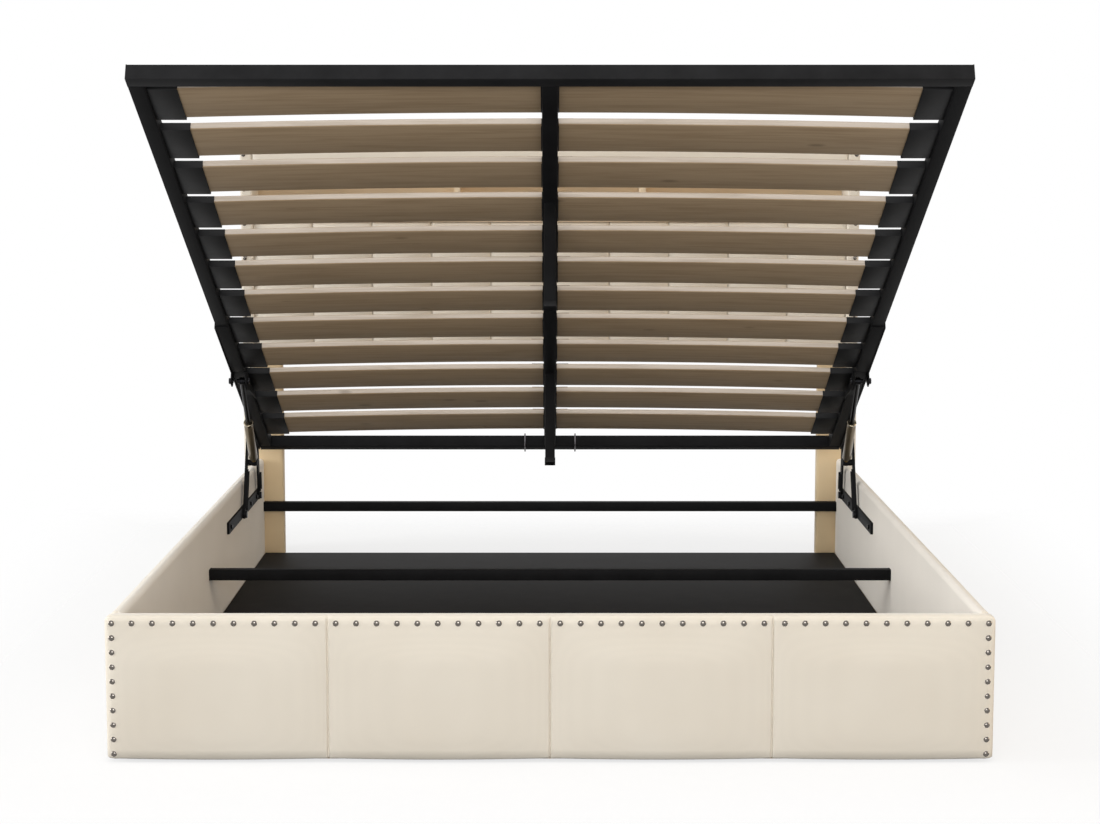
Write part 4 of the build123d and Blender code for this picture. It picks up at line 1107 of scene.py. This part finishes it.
def lathe(work, base, along, profile, index):
    """A surface of revolution round a line, from pairs of distance and radius."""
    side = along.cross(Vector((0, 0, 1))).normalized()
    up = side.cross(along).normalized()
    rings = []
    for distance, radius in profile:
        centre = base + along * distance
        turns = ring_turns(LATHE_SIDES) if radius else (0.0,)
        rings.append([
            work.verts.new(centre + radius * (math.cos(turn) * side + math.sin(turn) * up)) for turn in turns
        ])
    for ring, following in zip(rings, rings[1:]):
        for n in range(LATHE_SIDES):
            corners = []
            for circle, at in ((ring, n), (ring, n + 1), (following, n + 1), (following, n)):
                vert = circle[at % len(circle)]
                if vert not in corners:
                    corners.append(vert)
            work.faces.new(corners).material_index = index


def eye_ring(work, centre, index):
    """A ring round a pin that runs along X, with rounded edges."""
    section = (
        (EYE_BORE, -EYE_HALF_WIDTH), (EYE_RADIUS - EYE_ROUND, -EYE_HALF_WIDTH),
        (EYE_RADIUS, EYE_ROUND - EYE_HALF_WIDTH), (EYE_RADIUS, EYE_HALF_WIDTH - EYE_ROUND),
        (EYE_RADIUS - EYE_ROUND, EYE_HALF_WIDTH), (EYE_BORE, EYE_HALF_WIDTH),
    )
    rings = [
        [
            work.verts.new(centre + Vector((across, radius * math.cos(turn), radius * math.sin(turn))))
            for turn in ring_turns(EYE_SIDES)
        ]
        for radius, across in section
    ]
    skin(work, rings + rings[:1], index)


joint_rows = {row["name"]: row for row in frame["record"]["behaviour"]["joints"]}
for side in ("left", "right"):
    name = "gas_cylinder_" + side
    base = Vector(joint_rows["strut_" + side + "_hinge"]["pos_m"])
    along = -Vector(joint_rows["strut_" + side + "_slide"]["axis"]).normalized()
    work = bmesh.new()
    for index, profile in enumerate((CYLINDER_BODY, CYLINDER_LIP, END_FITTING)):
        lathe(work, base, along, profile, index)
    eye_ring(work, base, 3)
    bmesh.ops.remove_doubles(work, verts=work.verts, dist=LATHE_JOIN)
    bmesh.ops.recalc_face_normals(work, faces=work.faces)
    mesh = finished(work, name)
    # The lip takes the lighter metal with painted highlight.
    piece(
        name, mesh, cylinder_paint, satin_lip, brass, steel_black,
        body="strut_cylinder_" + side + "_body", slot="strut_body", replaces=("strut_cylinder_" + side,),
    )
    sharp(mesh)


# Hard parts, with their edges rounded as pressed, drawn or moulded parts have them

TUBES = (
    "platform_front_tube", "platform_rear_tube", "side_tube_left", "side_tube_right", "centre_beam",
    "centre_legs", "mid_cross_bar", "head_cross_bar",
)
SMALL_PARTS = (
    "tube_plugs", "leg_caps", "slat_caps_left", "slat_caps_right", "centre_slat_holders",
    "corner_brackets", "cross_bar_plates", "hinge_bar_left", "hinge_bar_right", "lift_bracket_left",
    "lift_bracket_right", "pin_cheeks", "rear_link_left", "rear_link_right", "front_link_left",
    "front_link_right", "frame_bolts", "lower_pivot_pins", "upper_pivot_pins", "strut_pin_bolts",
    "base_panel_front", "base_panel_rear", "cubby_shelf", "cubby_ceiling", "cubby_back",
    "cubby_dividers", "headboard_top_board", "headboard_bottom_board", "headboard_rear_panel",
    "floor_glides", "tube_hoops", "strut_rod_left", "strut_rod_right",
)
TUBE_ROUNDS = (0.0018, 0.0004)
SMALL_ROUNDS = (0.0008, 0.0005)

for name in TUBES:
    rounded(name, *TUBE_ROUNDS)
for name in SMALL_PARTS:
    rounded(name, *SMALL_ROUNDS)


# Floor, background and lamps

FLOOR_HALF = 6.0
FLOOR_CELLS = 8
BED_HALF = (0.85, 1.12)
FADE_FROM = 0.05
FADE_TO = 0.7
FLOOR_BOUNCE = (0.16, 0.155, 0.15)
FLOOR_SEEN = (0.9, 0.9, 0.9)
FLOOR_WHITE = 0.72
WHITE = (1.0, 1.0, 1.0)
AMBIENT_COLOUR = (1.0, 0.99, 0.97)
AMBIENT = 0.6
AMBIENT_BELOW = 0.2
AMBIENT_HEIGHTS = (-0.3, 0.5)
WARM_LIGHT = (1.0, 0.77, 0.52)
LAMPS = (
    ("key_light", (-8.4, -1.2, 1.7), (0.4, -0.1, 0.2), (3.4, 2.4), 560.0, WHITE),
    ("front_light", (0.0, -6.6, 1.5), (0.0, -1.0, 0.3), (3.4, 1.8), 188.0, WHITE),
    ("top_light", (0.0, -3.2, 4.4), (0.0, -0.8, 0.8), (3.4, 2.0), 40.0, WHITE),
    ("right_fill", (5.2, -1.6, 1.5), (-0.5, 0.2, 0.2), (2.4, 1.6), 75.0, WARM_LIGHT),
)


def map_range(net, value, low, high, **values):
    """A value mapped from the range between low and high."""
    node = net.add("ShaderNodeMapRange", **values)
    node.inputs["From Min"].default_value = low
    node.inputs["From Max"].default_value = high
    net.link(value, node.inputs["Value"])
    return node


def floor_paint():
    """White paint that keeps the bed's shadow and fades to clear away from the bed."""
    paint = bpy.data.materials.new("studio_floor")
    paint.use_nodes = True
    paint.node_tree.nodes.clear()
    net = Nodes(paint.node_tree)
    parts = net.parts(net.add("ShaderNodeTexCoord").outputs["Object"])
    past_x, past_y = [
        net.math("SUBTRACT", net.math("ABSOLUTE", parts[axis]), half) for axis, half in zip("XY", BED_HALF)
    ]
    past = net.math("MAXIMUM", past_x, past_y)
    fade = map_range(net, past, FADE_FROM, FADE_TO, interpolation_type="SMOOTHSTEP")
    seen = net.seen_rays()
    diffuse = net.add("ShaderNodeBsdfDiffuse")
    net.link(net.mix(seen, FLOOR_BOUNCE, FLOOR_SEEN), diffuse.inputs["Color"])
    glow = net.add("ShaderNodeEmission")
    net.feed(glow.inputs["Color"], WHITE)
    net.link(seen, glow.inputs["Strength"])
    matte = net.blend(FLOOR_WHITE, diffuse.outputs[0], glow.outputs[0])
    clear = net.add("ShaderNodeBsdfTransparent")
    mixed = net.blend(fade.outputs[0], matte, clear.outputs[0])
    net.link(mixed, net.add("ShaderNodeOutputMaterial").inputs["Surface"])
    return paint


def studio_floor():
    """A pale floor that fades into the white background."""
    work = bmesh.new()
    bmesh.ops.create_grid(work, x_segments=FLOOR_CELLS, y_segments=FLOOR_CELLS, size=FLOOR_HALF)
    floor = bpy.data.objects.new("studio_floor", finished(work, "studio_floor"))
    scene.collection.objects.link(floor)
    floor.data.materials.append(floor_paint())


def studio_world():
    """A white background for what is seen directly, and a dim even light from above for the rest."""
    world = bpy.data.worlds.new("studio")
    scene.world = world
    world.use_nodes = True
    world.node_tree.nodes.clear()
    net = Nodes(world.node_tree)
    parts = net.parts(net.add("ShaderNodeTexCoord").outputs["Generated"])
    bright = map_range(net, parts["Z"], *AMBIENT_HEIGHTS)
    bright.inputs["To Min"].default_value = AMBIENT_BELOW
    bright.inputs["To Max"].default_value = AMBIENT
    ambient = net.add("ShaderNodeBackground")
    net.feed(ambient.inputs["Color"], AMBIENT_COLOUR)
    net.link(bright.outputs[0], ambient.inputs["Strength"])
    white = net.add("ShaderNodeBackground")
    net.feed(white.inputs["Color"], WHITE)
    white.inputs["Strength"].default_value = 1.0
    mixed = net.blend(net.seen_rays(), ambient.outputs[0], white.outputs[0])
    net.link(mixed, net.add("ShaderNodeOutputWorld").inputs["Surface"])


def lamps():
    """Soft light from the left, the front, above and the right."""
    for name, place, aim, size, power, colour in LAMPS:
        lamp = bpy.data.lights.new(name, "AREA")
        lamp.shape = "RECTANGLE"
        lamp.size, lamp.size_y = size
        lamp.energy = power
        lamp.color = colour
        thing = bpy.data.objects.new(name, lamp)
        thing.location = place
        thing.rotation_euler = (Vector(aim) - Vector(place)).to_track_quat("-Z", "Y").to_euler()
        thing.visible_camera = False
        scene.collection.objects.link(thing)


studio_floor()
studio_world()
lamps()


# Camera

CAMERA_PLACE = Vector((0.0, -5.0823, 1.1119))
CAMERA_PITCH = math.radians(6.7233)
CAMERA_SENSOR = 36.0
CAMERA_LENS = 73.18
CAMERA_REACH = 60.0
lens = bpy.data.cameras.new("camera")
lens.sensor_width = CAMERA_SENSOR
lens.lens = CAMERA_LENS
lens.clip_end = CAMERA_REACH
camera = bpy.data.objects.new("camera", lens)
camera.location = CAMERA_PLACE
camera.rotation_euler = (math.pi / 2 - CAMERA_PITCH, 0.0, 0.0)
scene.collection.objects.link(camera)
scene.camera = camera
scene.view_settings.view_transform = "Standard"
